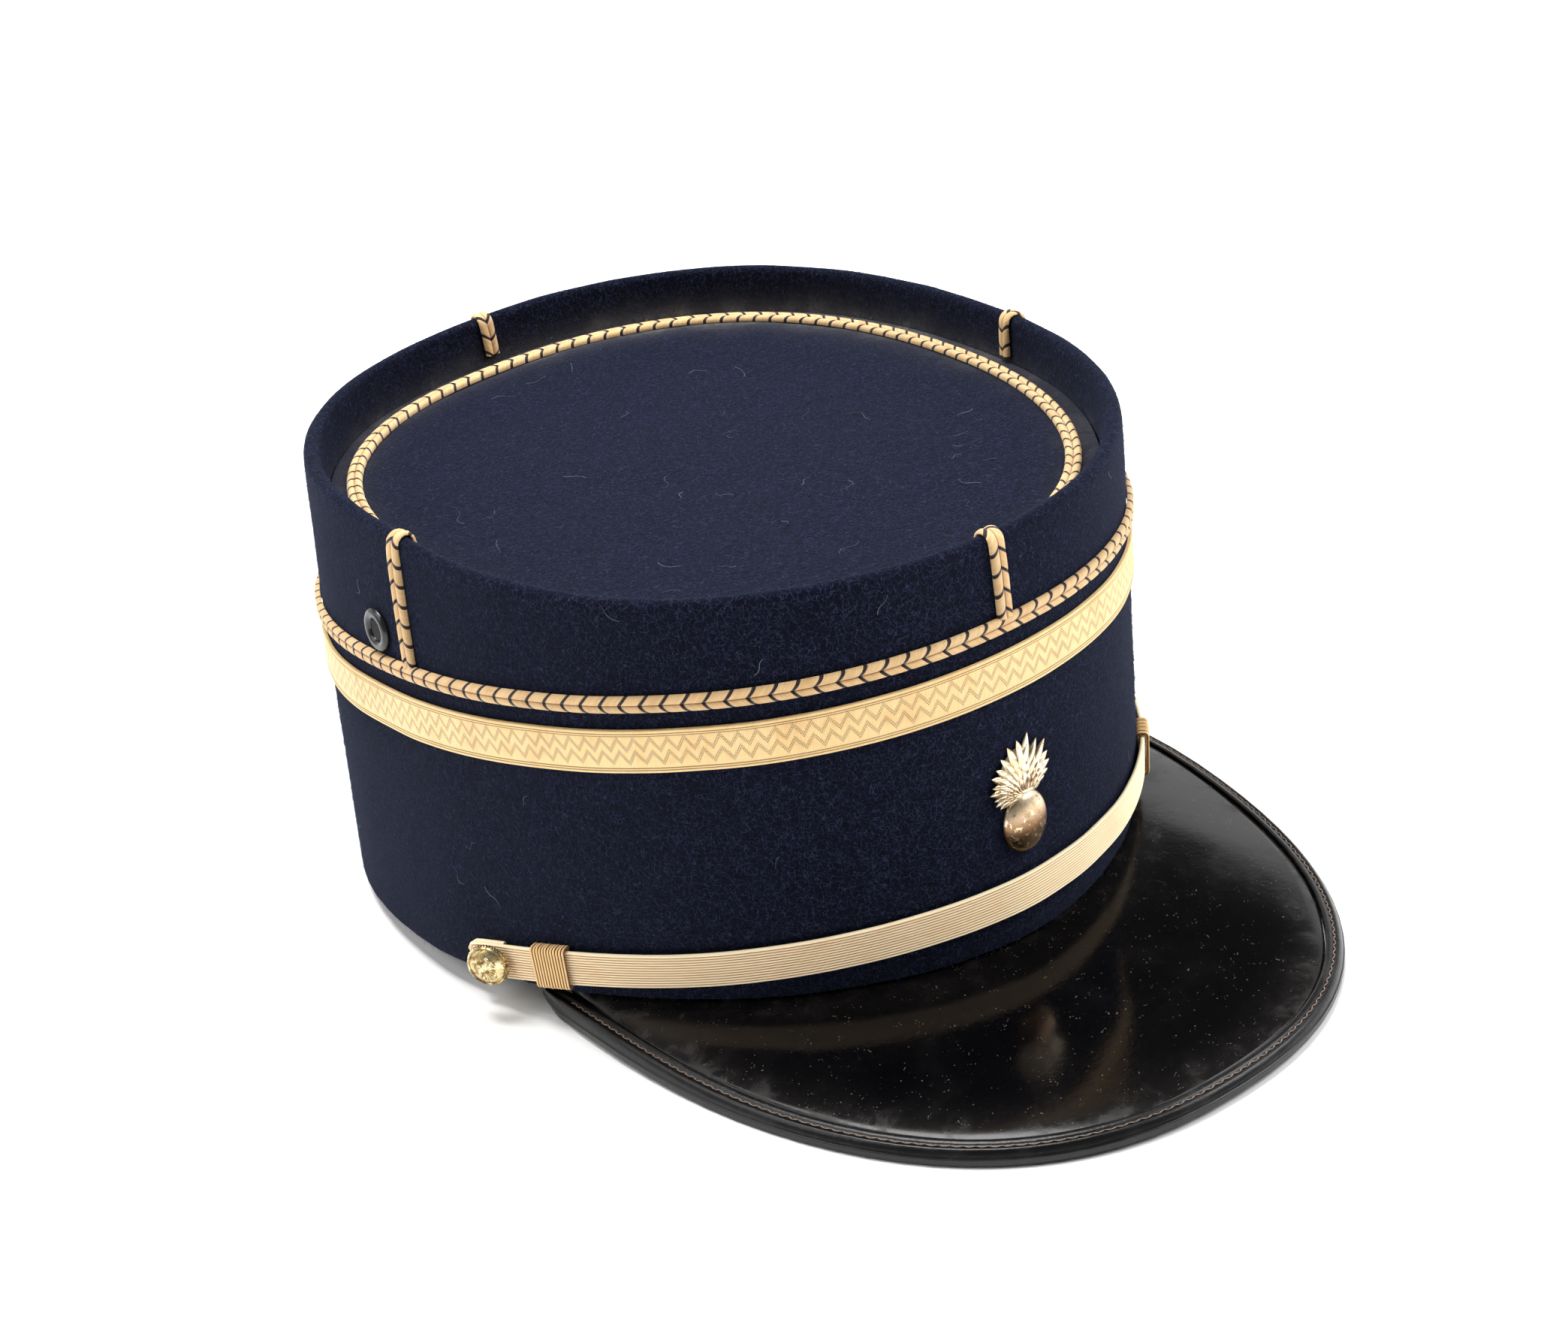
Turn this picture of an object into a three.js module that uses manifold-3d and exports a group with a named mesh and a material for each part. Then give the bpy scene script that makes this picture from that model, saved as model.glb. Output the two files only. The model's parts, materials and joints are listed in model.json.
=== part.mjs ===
// A kepi: a stiff round felt cap with a flat sunken top, gold trimming and a leather peak.
// Millimetres, +Z up. The peak points along -Y and the wearer's right is -X.
// The cap is built square to its own base, then pitched back so that it stands on the
// peak's edge and on the back of the base, as it does on a table.
import * as THREE from 'three';
import { mergeVertices } from 'three/addons/utils/BufferGeometryUtils.js';
import Module from 'manifold-3d';

const wasm = await Module();
wasm.setup();
const { Manifold, Mesh: ManifoldMesh } = wasm;

// ---------- driving sizes ----------

const gap = 0.3;

// Plan ovals. A power of 2 is an ellipse, more is squarer; egg narrows the front.
const baseOval = {
  halfLong: 97.2, halfWide: 88.2, frontPower: 1.83, backPower: 2.2, egg: 0.052, centreY: 0,
};
const rimOval = {
  halfLong: 96.3, halfWide: 80.5, frontPower: 2.23, backPower: 2.23, egg: 0.035, centreY: -5.5,
};

const rimHeight = 97.4;
const rimSlope = 0.052;
const wallThickness = 2.4;
const foldWidth = 3.6;
const wallBulge = 0.4;

// How far the hand-folded rim rises or sags, by angle from the front, wearer's left first.
const rimWave = [
  { angle: 0, rise: -0.6 },
  { angle: 20, rise: -0.3 },
  { angle: 60, rise: 0 },
  { angle: 180, rise: 0.8 },
  { angle: 235, rise: 0.9 },
  { angle: 264, rise: 2.0 },
  { angle: 284, rise: -0.2 },
  { angle: 306, rise: -0.9 },
  { angle: 334, rise: 0.1 },
  { angle: 360, rise: -0.6 },
];

const topDepth = 10.6;
const topThickness = 2;
const topInset = 4.8;

const braid = { width: 3.7, thickness: 1.4 };
const crownBraidHeight = 68.4;
const bandSlope = -0.041;
const topBraidInset = 10.8;
const innerBraidEnd = 2.2;

const galloon = { top: 62.8, width: 9.7, thickness: 0.9 };

const strap = {
  top: 10.9, width: 8.4, thickness: 1, standOff: 0.95, slope: 0.0105, arch: 0.000657, bendAt: 62, endDrop: 2.3,
};
const strapEndAngle = 79.4;
const slide = { width: 9.2, height: 10.6, wrap: 0.6 };
const slides = [
  { name: 'strap_slide_right', angle: -66.6 },
  { name: 'strap_slide_left', angle: 45 },
];
const button = { radius: 4.5, height: 3.4, angle: 76, turn: 18, lift: 1, rise: 0.9 };

const badge = {
  ballRadius: 5.6,
  ballHeight: 7,
  ballDepth: 3,
  centreHeight: 27.6,
  collarWidth: 5,
  collarHeight: 1.5,
  plumeRadius: 14.2,
  plumeSpread: 84,
  tongues: 13,
  plumeThickness: 1.3,
  lean: -4,
};

const eyelet = { radius: 4.9, hole: 2.4, lip: 1.3, angle: 93.3, height: 75.4 };

// The peak's outline is an oval too, measured at the groove beside its edging.
const peak = { halfWide: 75.8, rootY: -34.7, reach: 117.2, power: 2.31, thickness: 2 };
const peakLevels = { front: -9.6, sideRise: 3.9, endRise: 3.2 };
const peakRootAngle = 66;
const edging = { width: 3.9, drop: 1.87, face: 1.7, lip: 0.5, wrap: 3.2, sideWiden: 0.1, endDeepen: 0.3 };
const edgingTail = { length: 9, out: 1.6, thin: 0.6 };

const ringSteps = 80;
const halfSteps = 44;

// ---------- the cap's form ----------

const radians = THREE.MathUtils.degToRad;

function ovalPoint(oval, degrees) {
  const c = Math.cos(radians(degrees));
  const s = Math.sin(radians(degrees));
  const power = c > 0 ? oval.frontPower : oval.backPower;
  const along = Math.sign(c) * Math.abs(c) ** (2 / power);
  const across = Math.sign(s) * Math.abs(s) ** (2 / power);
  const x = oval.halfWide * across * (1 - oval.egg * c);
  return new THREE.Vector2(x, oval.centreY - oval.halfLong * along);
}

function rimRise(degrees) {
  const turn = ((degrees % 360) + 360) % 360;
  const next = rimWave.findIndex((row) => row.angle >= turn && row.angle > 0);
  const from = rimWave[next - 1];
  const to = rimWave[next];
  const share = THREE.MathUtils.smoothstep(turn, from.angle, to.angle);
  return THREE.MathUtils.lerp(from.rise, to.rise, share);
}

const rimLevel = (y) => rimHeight + rimSlope * y;

function wallPlan(degrees, height) {
  const low = ovalPoint(baseOval, degrees);
  const high = ovalPoint(rimOval, degrees);
  const share = height / rimLevel(high.y);
  return low.lerp(high, share);
}

// A point of the felt's outer face at this angle and height, moved out by `out`.
function onWall(degrees, height, out = 0) {
  const here = wallPlan(degrees, height);
  const tangent = wallPlan(degrees + 0.5, height).sub(wallPlan(degrees - 0.5, height)).normalize();
  const share = height / rimHeight;
  const swell = wallBulge * 4 * share * (1 - share);
  const reach = out + swell;
  return new THREE.Vector3(here.x - tangent.y * -reach, here.y - tangent.x * reach, height);
}

// ---------- solids ----------

// Skins a row of equal closed sections. A loop joins the last to the first; else both ends are capped.
function skin(sections, loop) {
  const count = sections[0].length;
  const positions = sections.flat().flatMap((p) => [p.x, p.y, p.z]);
  const index = [];
  const strips = loop ? sections.length : sections.length - 1;
  for (let i = 0; i < strips; i++) {
    const a = i * count;
    const b = ((i + 1) % sections.length) * count;
    for (let j = 0; j < count; j++) {
      const k = (j + 1) % count;
      index.push(a + j, b + j, b + k, a + j, b + k, a + k);
    }
  }
  if (!loop) {
    const last = (sections.length - 1) * count;
    for (let j = 1; j < count - 1; j++) {
      index.push(0, j, j + 1);
      index.push(last, last + j + 1, last + j);
    }
  }
  const geometry = new THREE.BufferGeometry();
  geometry.setAttribute('position', new THREE.Float32BufferAttribute(positions, 3));
  geometry.setIndex(index);
  return outward(geometry);
}

function outward(geometry) {
  const at = geometry.getAttribute('position');
  const index = geometry.index.array;
  const corner = (i) => new THREE.Vector3().fromBufferAttribute(at, i);
  let volume = 0;
  for (let i = 0; i < index.length; i += 3) {
    volume += corner(index[i]).dot(corner(index[i + 1]).cross(corner(index[i + 2])));
  }
  if (volume < 0) {
    for (let i = 0; i < index.length; i += 3) {
      [index[i + 1], index[i + 2]] = [index[i + 2], index[i + 1]];
    }
  }
  geometry.computeVertexNormals();
  return geometry;
}

function toManifold(geometry) {
  const bare = geometry.clone();
  bare.deleteAttribute('normal');
  bare.deleteAttribute('uv');
  const merged = mergeVertices(bare, 1e-4);
  return new Manifold(new ManifoldMesh({
    numProp: 3,
    vertProperties: new Float32Array(merged.getAttribute('position').array),
    triVerts: new Uint32Array(merged.index.array),
  }));
}

function fromManifold(solid) {
  const mesh = solid.getMesh();
  const geometry = new THREE.BufferGeometry();
  geometry.setAttribute('position', new THREE.Float32BufferAttribute(mesh.vertProperties, 3));
  geometry.setIndex(new THREE.Uint32BufferAttribute(mesh.triVerts, 1));
  geometry.computeVertexNormals();
  return geometry;
}

function angles(from, to, steps) {
  return Array.from({ length: steps + 1 }, (_, i) => from + ((to - from) * i) / steps);
}

const fullTurn = angles(0, 360, ringSteps).slice(0, ringSteps);

// ---------- felt ----------

// A point of the sunken top panel's plane, this far in from the wall's outer face.
function topPoint(degrees, inset, lift) {
  const point = onWall(degrees, rimHeight - topDepth, -inset);
  point.z = rimLevel(point.y) - topDepth + lift;
  return point;
}

// The wall's section from the base up, over the folded rim and down to the top panel.
function wallSection(degrees) {
  const top = rimLevel(ovalPoint(rimOval, degrees).y) + rimRise(degrees);
  const radius = foldWidth / 2;
  const points = [onWall(degrees, 0)];
  for (const share of [0.25, 0.5, 0.75]) {
    points.push(onWall(degrees, top * share));
  }
  for (const turn of angles(0, 180, 6)) {
    const out = radius * (Math.cos(radians(turn)) - 1);
    points.push(onWall(degrees, top - radius + radius * Math.sin(radians(turn)), out));
  }
  points.push(topPoint(degrees, topInset, 0.5));
  points.push(topPoint(degrees, topInset, -topThickness));
  points.push(topPoint(degrees, wallThickness, -topThickness - 4));
  points.push(onWall(degrees, top * 0.4, -wallThickness));
  points.push(onWall(degrees, 0, -wallThickness));
  return points;
}

const crownWall = () => skin(fullTurn.map(wallSection), true);

function crownTop() {
  const shape = new THREE.Shape(fullTurn.map((degrees) => {
    const edge = topPoint(degrees, topInset + gap, 0);
    return new THREE.Vector2(edge.x, edge.y);
  }));
  const geometry = new THREE.ExtrudeGeometry(shape, { depth: topThickness, bevelEnabled: false });
  const lean = new THREE.Matrix4().makeShear(0, 0, 0, rimSlope, 0, 0);
  geometry.applyMatrix4(lean);
  return geometry.translate(0, 0, rimHeight - topDepth - topThickness);
}

// ---------- braid and lace ----------

// Flat on its back, with a shallow groove between two round ribs.
const braidProfile = [
  { across: -1, up: 0 },
  { across: -1, up: 0.55 },
  { across: -0.55, up: 1 },
  { across: 0, up: 0.7 },
  { across: 0.55, up: 1 },
  { across: 1, up: 0.55 },
  { across: 1, up: 0 },
];

const bandHeight = (degrees, level) => level + bandSlope * onWall(degrees, level).y;

function crownBraid() {
  const sections = fullTurn.map((degrees) => braidProfile.map(({ across, up }) => {
    const height = bandHeight(degrees, crownBraidHeight) + (across * braid.width) / 2;
    return onWall(degrees, height, gap + up * braid.thickness);
  }));
  return skin(sections, true);
}

function topBraid() {
  const sections = fullTurn.map((degrees) => braidProfile.map(({ across, up }) => {
    const inset = topBraidInset + (across * braid.width) / 2;
    return topPoint(degrees, inset, gap + up * braid.thickness);
  }));
  return skin(sections, true);
}

// Runs from the crown braid up the wall, over the rim and down inside to the top panel.
function uprightBraid(degrees) {
  const section = wallSection(degrees);
  const foldEnd = 9;
  const start = onWall(degrees, bandHeight(degrees, crownBraidHeight) + braid.width / 2 + gap);
  const foot = section[foldEnd + 1];
  const rimInside = section[foldEnd];
  const end = foot.clone().lerp(rimInside, innerBraidEnd / topDepth);
  const path = [start, onWall(degrees, 84), ...section.slice(4, foldEnd + 1), end];
  const centre = onWall(degrees, 0).setZ(0).normalize();
  const side = new THREE.Vector3(-centre.y, centre.x, 0);
  const sections = path.map((point, i) => {
    const before = path[Math.max(i - 1, 0)];
    const after = path[Math.min(i + 1, path.length - 1)];
    const along = after.clone().sub(before).normalize();
    const up = new THREE.Vector3().crossVectors(side, along).normalize();
    return braidProfile.map((row) => point.clone()
      .addScaledVector(side, (row.across * braid.width) / 2)
      .addScaledVector(up, gap + row.up * braid.thickness));
  });
  return skin(sections, false);
}

function laceRing() {
  const sections = fullTurn.map((degrees) => {
    const top = bandHeight(degrees, galloon.top);
    const low = top - galloon.width;
    const outer = gap + galloon.thickness;
    return [
      onWall(degrees, low, gap),
      onWall(degrees, low, outer),
      onWall(degrees, top, outer),
      onWall(degrees, top, gap),
    ];
  });
  return skin(sections, true);
}

// ---------- chin strap ----------

function strapTop(degrees) {
  const { y } = onWall(degrees, strap.top);
  const past = Math.max(0, Math.abs(degrees) - strap.bendAt) / (strapEndAngle - strap.bendAt);
  return strap.top + strap.slope * y + strap.arch * y * y - strap.endDrop * past * past;
}

const strapMiddle = (degrees) => strapTop(degrees) - strap.width / 2;

// A length of band that follows the strap, between two offsets from the felt.
function strapLength(from, to, steps, height, inner, outer) {
  return skin(angles(from, to, steps).map((degrees) => {
    const middle = strapMiddle(degrees);
    return [
      onWall(degrees, middle - height / 2, inner),
      onWall(degrees, middle - height / 2, outer),
      onWall(degrees, middle + height / 2, outer),
      onWall(degrees, middle + height / 2, inner),
    ];
  }), false);
}

function chinStrap() {
  const outer = strap.standOff + strap.thickness;
  return strapLength(-strapEndAngle, strapEndAngle, halfSteps, strap.width, strap.standOff, outer);
}

// A band wrapped round the strap: a block with the strap's own path cut through it.
function slideWrap(degrees) {
  const half = THREE.MathUtils.radToDeg(slide.width / 2 / onWall(degrees, strap.top).setZ(0).length());
  const inner = strap.standOff - slide.wrap;
  const outer = strap.standOff + strap.thickness + gap;
  const block = strapLength(degrees - half, degrees + half, 3, slide.height, inner, outer + slide.wrap);
  const tunnelHeight = strap.width + 2 * gap;
  const tunnel = strapLength(
    degrees - half - 1, degrees + half + 1, 5, tunnelHeight, strap.standOff - gap, outer);
  return fromManifold(toManifold(block).subtract(toManifold(tunnel)));
}

// ---------- metal ----------

// Frame on the wall: X along it, Y up it and Z out of it.
function placeOnWall(mesh, degrees, height, out) {
  const origin = onWall(degrees, height, out);
  const along = onWall(degrees + 1, height).sub(onWall(degrees - 1, height)).normalize();
  const up = onWall(degrees, height + 1).sub(onWall(degrees, height - 1)).normalize();
  const outwards = new THREE.Vector3().crossVectors(along, up).normalize();
  mesh.matrixAutoUpdate = true;
  mesh.quaternion.setFromRotationMatrix(new THREE.Matrix4().makeBasis(along, up, outwards));
  mesh.position.copy(origin);
  return mesh;
}

// Turned parts: the profile's second column is the height out of the wall.
function turned(rows, steps) {
  const points = rows.map(([radius, out]) => new THREE.Vector2(radius, out));
  return new THREE.LatheGeometry(points, steps).rotateX(Math.PI / 2);
}

function domedButton() {
  const { radius, height } = button;
  const rows = [
    [0, 0],
    [radius - 0.8, 0],
    [radius, height * 0.35],
    [radius - 0.2, height * 0.5],
    [radius - 0.9, height * 0.55],
    [radius * 0.6, height * 0.86],
    [radius * 0.3, height * 0.97],
    [0, height],
  ];
  return turned(rows, 24);
}

function ventEyelet() {
  const { radius, hole, lip } = eyelet;
  const rows = [
    [0, 0],
    [radius, 0],
    [radius - 0.2, lip * 0.6],
    [radius - 1, lip],
    [hole + 0.5, lip],
    [hole, lip * 0.6],
    [hole, lip * 0.35],
    [0, lip * 0.35],
  ];
  return turned(rows, 24);
}

// A ball with a collar and a fan of pointed tongues above it, in one casting.
function plumedBall() {
  const ball = new THREE.SphereGeometry(1, 20, 14);
  ball.scale(badge.ballRadius, badge.ballHeight, badge.ballDepth);
  const collarY = badge.ballHeight + 0.2;
  const collar = new THREE.BoxGeometry(badge.collarWidth, badge.collarHeight, badge.plumeThickness + 0.8);
  collar.translate(0, collarY, badge.plumeThickness / 2);

  const outline = new THREE.Shape();
  outline.moveTo(-badge.collarWidth / 2, collarY - 0.4);
  const step = (2 * badge.plumeSpread) / badge.tongues;
  for (let i = 0; i < badge.tongues; i++) {
    const middle = -badge.plumeSpread + step * (i + 0.5);
    const shares = [[-0.42, 0.84], [0, 1], [0.42, 0.84]];
    for (const [side, reach] of shares) {
      const turn = radians(middle + side * step);
      const radius = badge.plumeRadius * reach * (0.1 + 0.9 * Math.cos(turn));
      outline.lineTo(radius * Math.sin(turn), collarY - 0.4 + radius * Math.cos(turn));
    }
  }
  outline.lineTo(badge.collarWidth / 2, collarY - 0.4);
  const plume = new THREE.ExtrudeGeometry(outline, { depth: badge.plumeThickness, bevelEnabled: false });

  const backCut = Manifold.cube([60, 60, 20], true).translate([0, 0, -10]);
  const solid = toManifold(ball).add(toManifold(collar)).add(toManifold(plume));
  return fromManifold(solid.subtract(backCut)).rotateZ(radians(badge.lean));
}

// ---------- leather peak ----------

// Nearly flat across the front, rising along the sides and quickly to the base at the very ends.
function peakLevel(turn) {
  const s = Math.abs(Math.sin(radians(turn)));
  return peakLevels.front + peakLevels.sideRise * s ** 4 + peakLevels.endRise * s ** 24;
}

// The groove line, by turn from -90 at the wearer's right to 90; `out` moves it outwards.
function peakEdge(turn, out = 0, lift = 0) {
  const at = (degrees) => {
    const s = Math.sin(radians(degrees));
    const c = Math.cos(radians(degrees));
    const across = Math.sign(s) * Math.abs(s) ** (2 / peak.power);
    const along = Math.abs(c) ** (2 / peak.power);
    return new THREE.Vector2(peak.halfWide * across, peak.rootY - peak.reach * along);
  };
  const here = at(turn);
  const tangent = at(Math.min(turn + 1, 90)).sub(at(Math.max(turn - 1, -90))).normalize();
  return new THREE.Vector3(
    here.x + tangent.y * out, here.y - tangent.x * out, peakLevel(turn) + lift);
}

const peakTurns = angles(-90, 90, halfSteps);

function peakPlate() {
  const sections = peakTurns.map((turn) => {
    const root = onWall((turn * peakRootAngle) / 90, 0, -wallThickness);
    root.z = -gap;
    const edge = peakEdge(turn);
    const middle = root.clone().lerp(edge, 0.5);
    const below = new THREE.Vector3(0, 0, -peak.thickness);
    const upper = [root, middle, edge];
    const lower = upper.map((point) => point.clone().add(below)).reverse();
    return [...upper, ...lower];
  });
  return skin(sections, false);
}

// Rows run from the groove over the roll to the outer face and back underneath.
const edgingProfile = [
  { out: gap, lift: -peak.thickness },
  { out: gap, lift: edging.lip },
  { out: 1.2, lift: edging.lip },
  { out: edging.width * 0.7, lift: -edging.drop * 0.3 },
  { out: edging.width, lift: -edging.drop },
  { out: edging.width, lift: -edging.drop - edging.face },
  { out: edging.wrap, lift: -edging.drop - edging.face },
];

// The roll is fuller along the sides and deepest at its ends.
function edgingPoint(turn, out, lift) {
  const s = Math.abs(Math.sin(radians(turn)));
  const deeper = lift < 0 ? 1 + edging.endDeepen * s ** 16 : 1;
  return peakEdge(turn, gap + (out - gap) * (1 + edging.sideWiden * s ** 6), lift * deeper);
}

// Behind the peak the roll runs on under the wall and thins out.
function tailSection(section, side, share) {
  const [root] = section;
  return section.map((point) => new THREE.Vector3(
    root.x + side * edgingTail.out * share + (point.x - root.x) * (1 - edgingTail.thin * share * 0.5),
    point.y + edgingTail.length * share,
    peakLevel(90) + (point.z - peakLevel(90)) * (1 - edgingTail.thin * share),
  ));
}

function peakEdging() {
  const sections = peakTurns.map((turn) => edgingProfile.map((row) => edgingPoint(turn, row.out, row.lift)));
  const rightTail = angles(1, 0, 3).slice(0, 3).map((share) => tailSection(sections[0], -1, share));
  const leftTail = angles(0, 1, 3).slice(1).map((share) => tailSection(sections.at(-1), 1, share));
  return skin([...rightTail, ...sections, ...leftTail], false);
}

// The steepest line from the back of the base to the edging's underside sets how far the cap leans.
function restPitch() {
  const back = ovalPoint(baseOval, 180).y;
  const slopes = peakTurns.map((turn) => {
    const low = edgingPoint(turn, edging.width, -edging.drop - edging.face);
    return Math.atan2(-low.z, back - low.y);
  });
  return Math.max(...slopes);
}

// ---------- the assembly ----------

const finishes = {
  felt: { color: 0x141a38, roughness: 0.95, metalness: 0 },
  braid: { color: 0xd9b877, roughness: 0.6, metalness: 0.1 },
  lace: { color: 0xe3bd7c, roughness: 0.7, metalness: 0.05 },
  strap: { color: 0xe0bb80, roughness: 0.7, metalness: 0 },
  gilt: { color: 0xc9a963, roughness: 0.35, metalness: 1 },
  blackPaint: { color: 0x17181b, roughness: 0.5, metalness: 0.2 },
  patentLeather: { color: 0x0b0a0b, roughness: 0.15, metalness: 0 },
  edgingLeather: { color: 0x1b1a1d, roughness: 0.45, metalness: 0 },
};

function part(name, geometry, finish) {
  const mesh = new THREE.Mesh(geometry, new THREE.MeshStandardMaterial(finishes[finish]));
  mesh.name = name;
  return mesh;
}

const cap = new THREE.Group();
cap.add(part('crown_wall', crownWall(), 'felt'));
cap.add(part('crown_top', crownTop(), 'felt'));
cap.add(part('crown_braid', crownBraid(), 'braid'));
cap.add(part('top_braid', topBraid(), 'braid'));
// the side braids stand a little ahead of the middle
cap.add(part('front_braid', uprightBraid(0), 'braid'));
cap.add(part('left_braid', uprightBraid(83.5), 'braid'));
cap.add(part('back_braid', uprightBraid(180), 'braid'));
cap.add(part('right_braid', uprightBraid(273), 'braid'));
cap.add(part('rank_lace', laceRing(), 'lace'));
cap.add(part('chin_strap', chinStrap(), 'strap'));
for (const { name, angle } of slides) {
  cap.add(part(name, slideWrap(angle), 'strap'));
}

const strapFace = strap.standOff + strap.thickness + gap;
for (const [side, sign] of [['right', -1], ['left', 1]]) {
  // each button is turned a little to the front, as the strap pulls it
  const stud = part(`strap_button_${side}`, domedButton().rotateY(-sign * radians(button.turn)), 'gilt');
  cap.add(placeOnWall(stud, sign * button.angle, strapMiddle(button.angle) + button.rise, strapFace + button.lift));
  const vent = part(`vent_eyelet_${side}`, ventEyelet(), 'blackPaint');
  cap.add(placeOnWall(vent, sign * eyelet.angle, eyelet.height, gap + 0.2));
}

const emblem = part('badge', plumedBall(), 'gilt');
cap.add(placeOnWall(emblem, 0, badge.centreHeight, gap + 0.4));

cap.add(part('peak', peakPlate(), 'patentLeather'));
cap.add(part('peak_edging', peakEdging(), 'edgingLeather'));

cap.rotation.x = -restPitch();
const lowest = new THREE.Box3().setFromObject(cap, true).min.z;
cap.position.z = -lowest;

const kepi = new THREE.Group();
kepi.add(cap);

export default kepi;
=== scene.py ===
import json
import random
from contextlib import contextmanager
from math import atan, atan2, copysign, cos, degrees, exp, hypot, pi, radians, sin, sqrt

import bpy
import numpy as np
from mathutils import Matrix, Vector
from mathutils.bvhtree import BVHTree

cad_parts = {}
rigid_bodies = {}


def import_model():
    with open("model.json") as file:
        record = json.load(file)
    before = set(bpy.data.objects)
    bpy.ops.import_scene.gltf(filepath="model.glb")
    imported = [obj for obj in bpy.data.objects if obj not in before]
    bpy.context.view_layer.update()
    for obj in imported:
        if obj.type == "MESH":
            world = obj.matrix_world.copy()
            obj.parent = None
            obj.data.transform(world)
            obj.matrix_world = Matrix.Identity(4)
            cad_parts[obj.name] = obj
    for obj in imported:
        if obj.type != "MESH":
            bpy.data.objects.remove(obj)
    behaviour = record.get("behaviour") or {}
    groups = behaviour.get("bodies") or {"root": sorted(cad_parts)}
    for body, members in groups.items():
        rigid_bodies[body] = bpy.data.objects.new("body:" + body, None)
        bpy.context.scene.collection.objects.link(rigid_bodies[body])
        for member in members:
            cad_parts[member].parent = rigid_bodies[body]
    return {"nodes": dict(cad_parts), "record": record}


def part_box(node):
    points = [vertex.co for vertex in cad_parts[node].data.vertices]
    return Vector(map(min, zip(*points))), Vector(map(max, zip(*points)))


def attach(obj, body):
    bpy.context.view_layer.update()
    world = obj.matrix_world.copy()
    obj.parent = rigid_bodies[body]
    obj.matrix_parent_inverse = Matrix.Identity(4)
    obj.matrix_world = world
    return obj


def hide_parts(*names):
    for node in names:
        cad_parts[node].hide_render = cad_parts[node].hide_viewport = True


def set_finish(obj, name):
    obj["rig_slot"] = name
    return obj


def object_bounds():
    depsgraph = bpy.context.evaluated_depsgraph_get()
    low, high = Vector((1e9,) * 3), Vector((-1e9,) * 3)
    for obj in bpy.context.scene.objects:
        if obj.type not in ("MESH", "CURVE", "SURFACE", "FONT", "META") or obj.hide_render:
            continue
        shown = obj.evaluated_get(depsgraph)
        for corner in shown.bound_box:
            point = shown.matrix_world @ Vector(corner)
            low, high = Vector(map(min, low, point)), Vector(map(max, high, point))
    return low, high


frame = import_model()
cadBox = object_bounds()
mm = 0.001
farAway = 0.2  # metres, well clear of the cap
offSeam = 0.013  # degrees, so that no cut runs along an edge
print("frame loaded:", len(frame["nodes"]), "CAD nodes")

# The cap leans back on the table. Everything is made square to its base, then stood on the table.
baseMount = next(m for m in frame["record"]["mounts"] if m["name"] == "base_edge")
baseAxis = Vector(baseMount["axis"])
leanBack = atan2(-baseAxis.y, -baseAxis.z)
baseRise = -Vector(baseMount["pos_m"]).dot(baseAxis) / -baseAxis.z
standing = Matrix.Translation((0, 0, baseRise)) @ Matrix.Rotation(-leanBack, 4, "X")
unstanding = standing.inverted()


def turned(angle, axis):
    return Matrix.Rotation(radians(angle), 4, axis)


def deselectAll():
    if bpy.context.object and bpy.context.object.mode != "OBJECT":
        bpy.ops.object.mode_set(mode="OBJECT")
    bpy.ops.object.select_all(action="DESELECT")


def pick(*pieces):
    deselectAll()
    for piece in pieces:
        piece.select_set(True)
    bpy.context.view_layer.objects.active = pieces[0]
    return pieces[0]


@contextmanager
def editing(piece, kind="VERT", action="SELECT"):
    # edit mode on one piece, with all of it or none of it selected
    pick(piece)
    bpy.ops.object.mode_set(mode="EDIT")
    bpy.ops.mesh.select_mode(type=kind)
    bpy.ops.mesh.select_all(action=action)
    yield
    bpy.ops.mesh.select_mode(type="VERT")
    bpy.ops.object.mode_set(mode="OBJECT")


def placed(name, data):
    made = bpy.data.objects.new(name, data)
    bpy.context.scene.collection.objects.link(made)
    return made


def treeOf(piece):
    mesh = piece.data
    return BVHTree.FromPolygons([v.co.copy() for v in mesh.vertices], [f.vertices[:] for f in mesh.polygons])


def applyModifiers(piece):
    pick(piece)
    for modifier in list(piece.modifiers):
        bpy.ops.object.modifier_apply(modifier=modifier.name)
    return piece


def joined(pieces, name):
    pick(*pieces)
    if len(pieces) > 1:
        bpy.ops.object.join()
    piece = bpy.context.object
    piece.name = name
    piece.data.name = name
    return piece


def tidySurface(piece, merge=0.01 * mm, angle=40):
    # closes seams, turns every face outwards and smooths all but the real edges
    with editing(piece):
        bpy.ops.mesh.remove_doubles(threshold=merge)
        bpy.ops.mesh.normals_make_consistent(inside=False)
    bpy.ops.object.shade_smooth_by_angle(angle=radians(angle))
    return piece


def capEnds(piece):
    with editing(piece, "EDGE", "DESELECT"):
        bpy.ops.mesh.select_non_manifold()
        bpy.ops.mesh.fill_holes(sides=0)


def finishPiece(piece, material, slotName, *nodes):
    piece.data.materials.clear()
    piece.data.materials.append(material)
    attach(piece, "root")
    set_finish(piece, slotName)
    if nodes:
        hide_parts(*nodes)
    deselectAll()
    return piece


def modelOf(node, name):
    # a merged copy of a CAD node's mesh, square to the cap's base
    piece = placed(name, frame["nodes"][node].data.copy())
    piece.data.transform(unstanding)
    with editing(piece):
        bpy.ops.mesh.remove_doubles(threshold=0.01 * mm)
        bpy.ops.mesh.tris_convert_to_quads(face_threshold=pi, shape_threshold=pi)
    return piece


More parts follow.
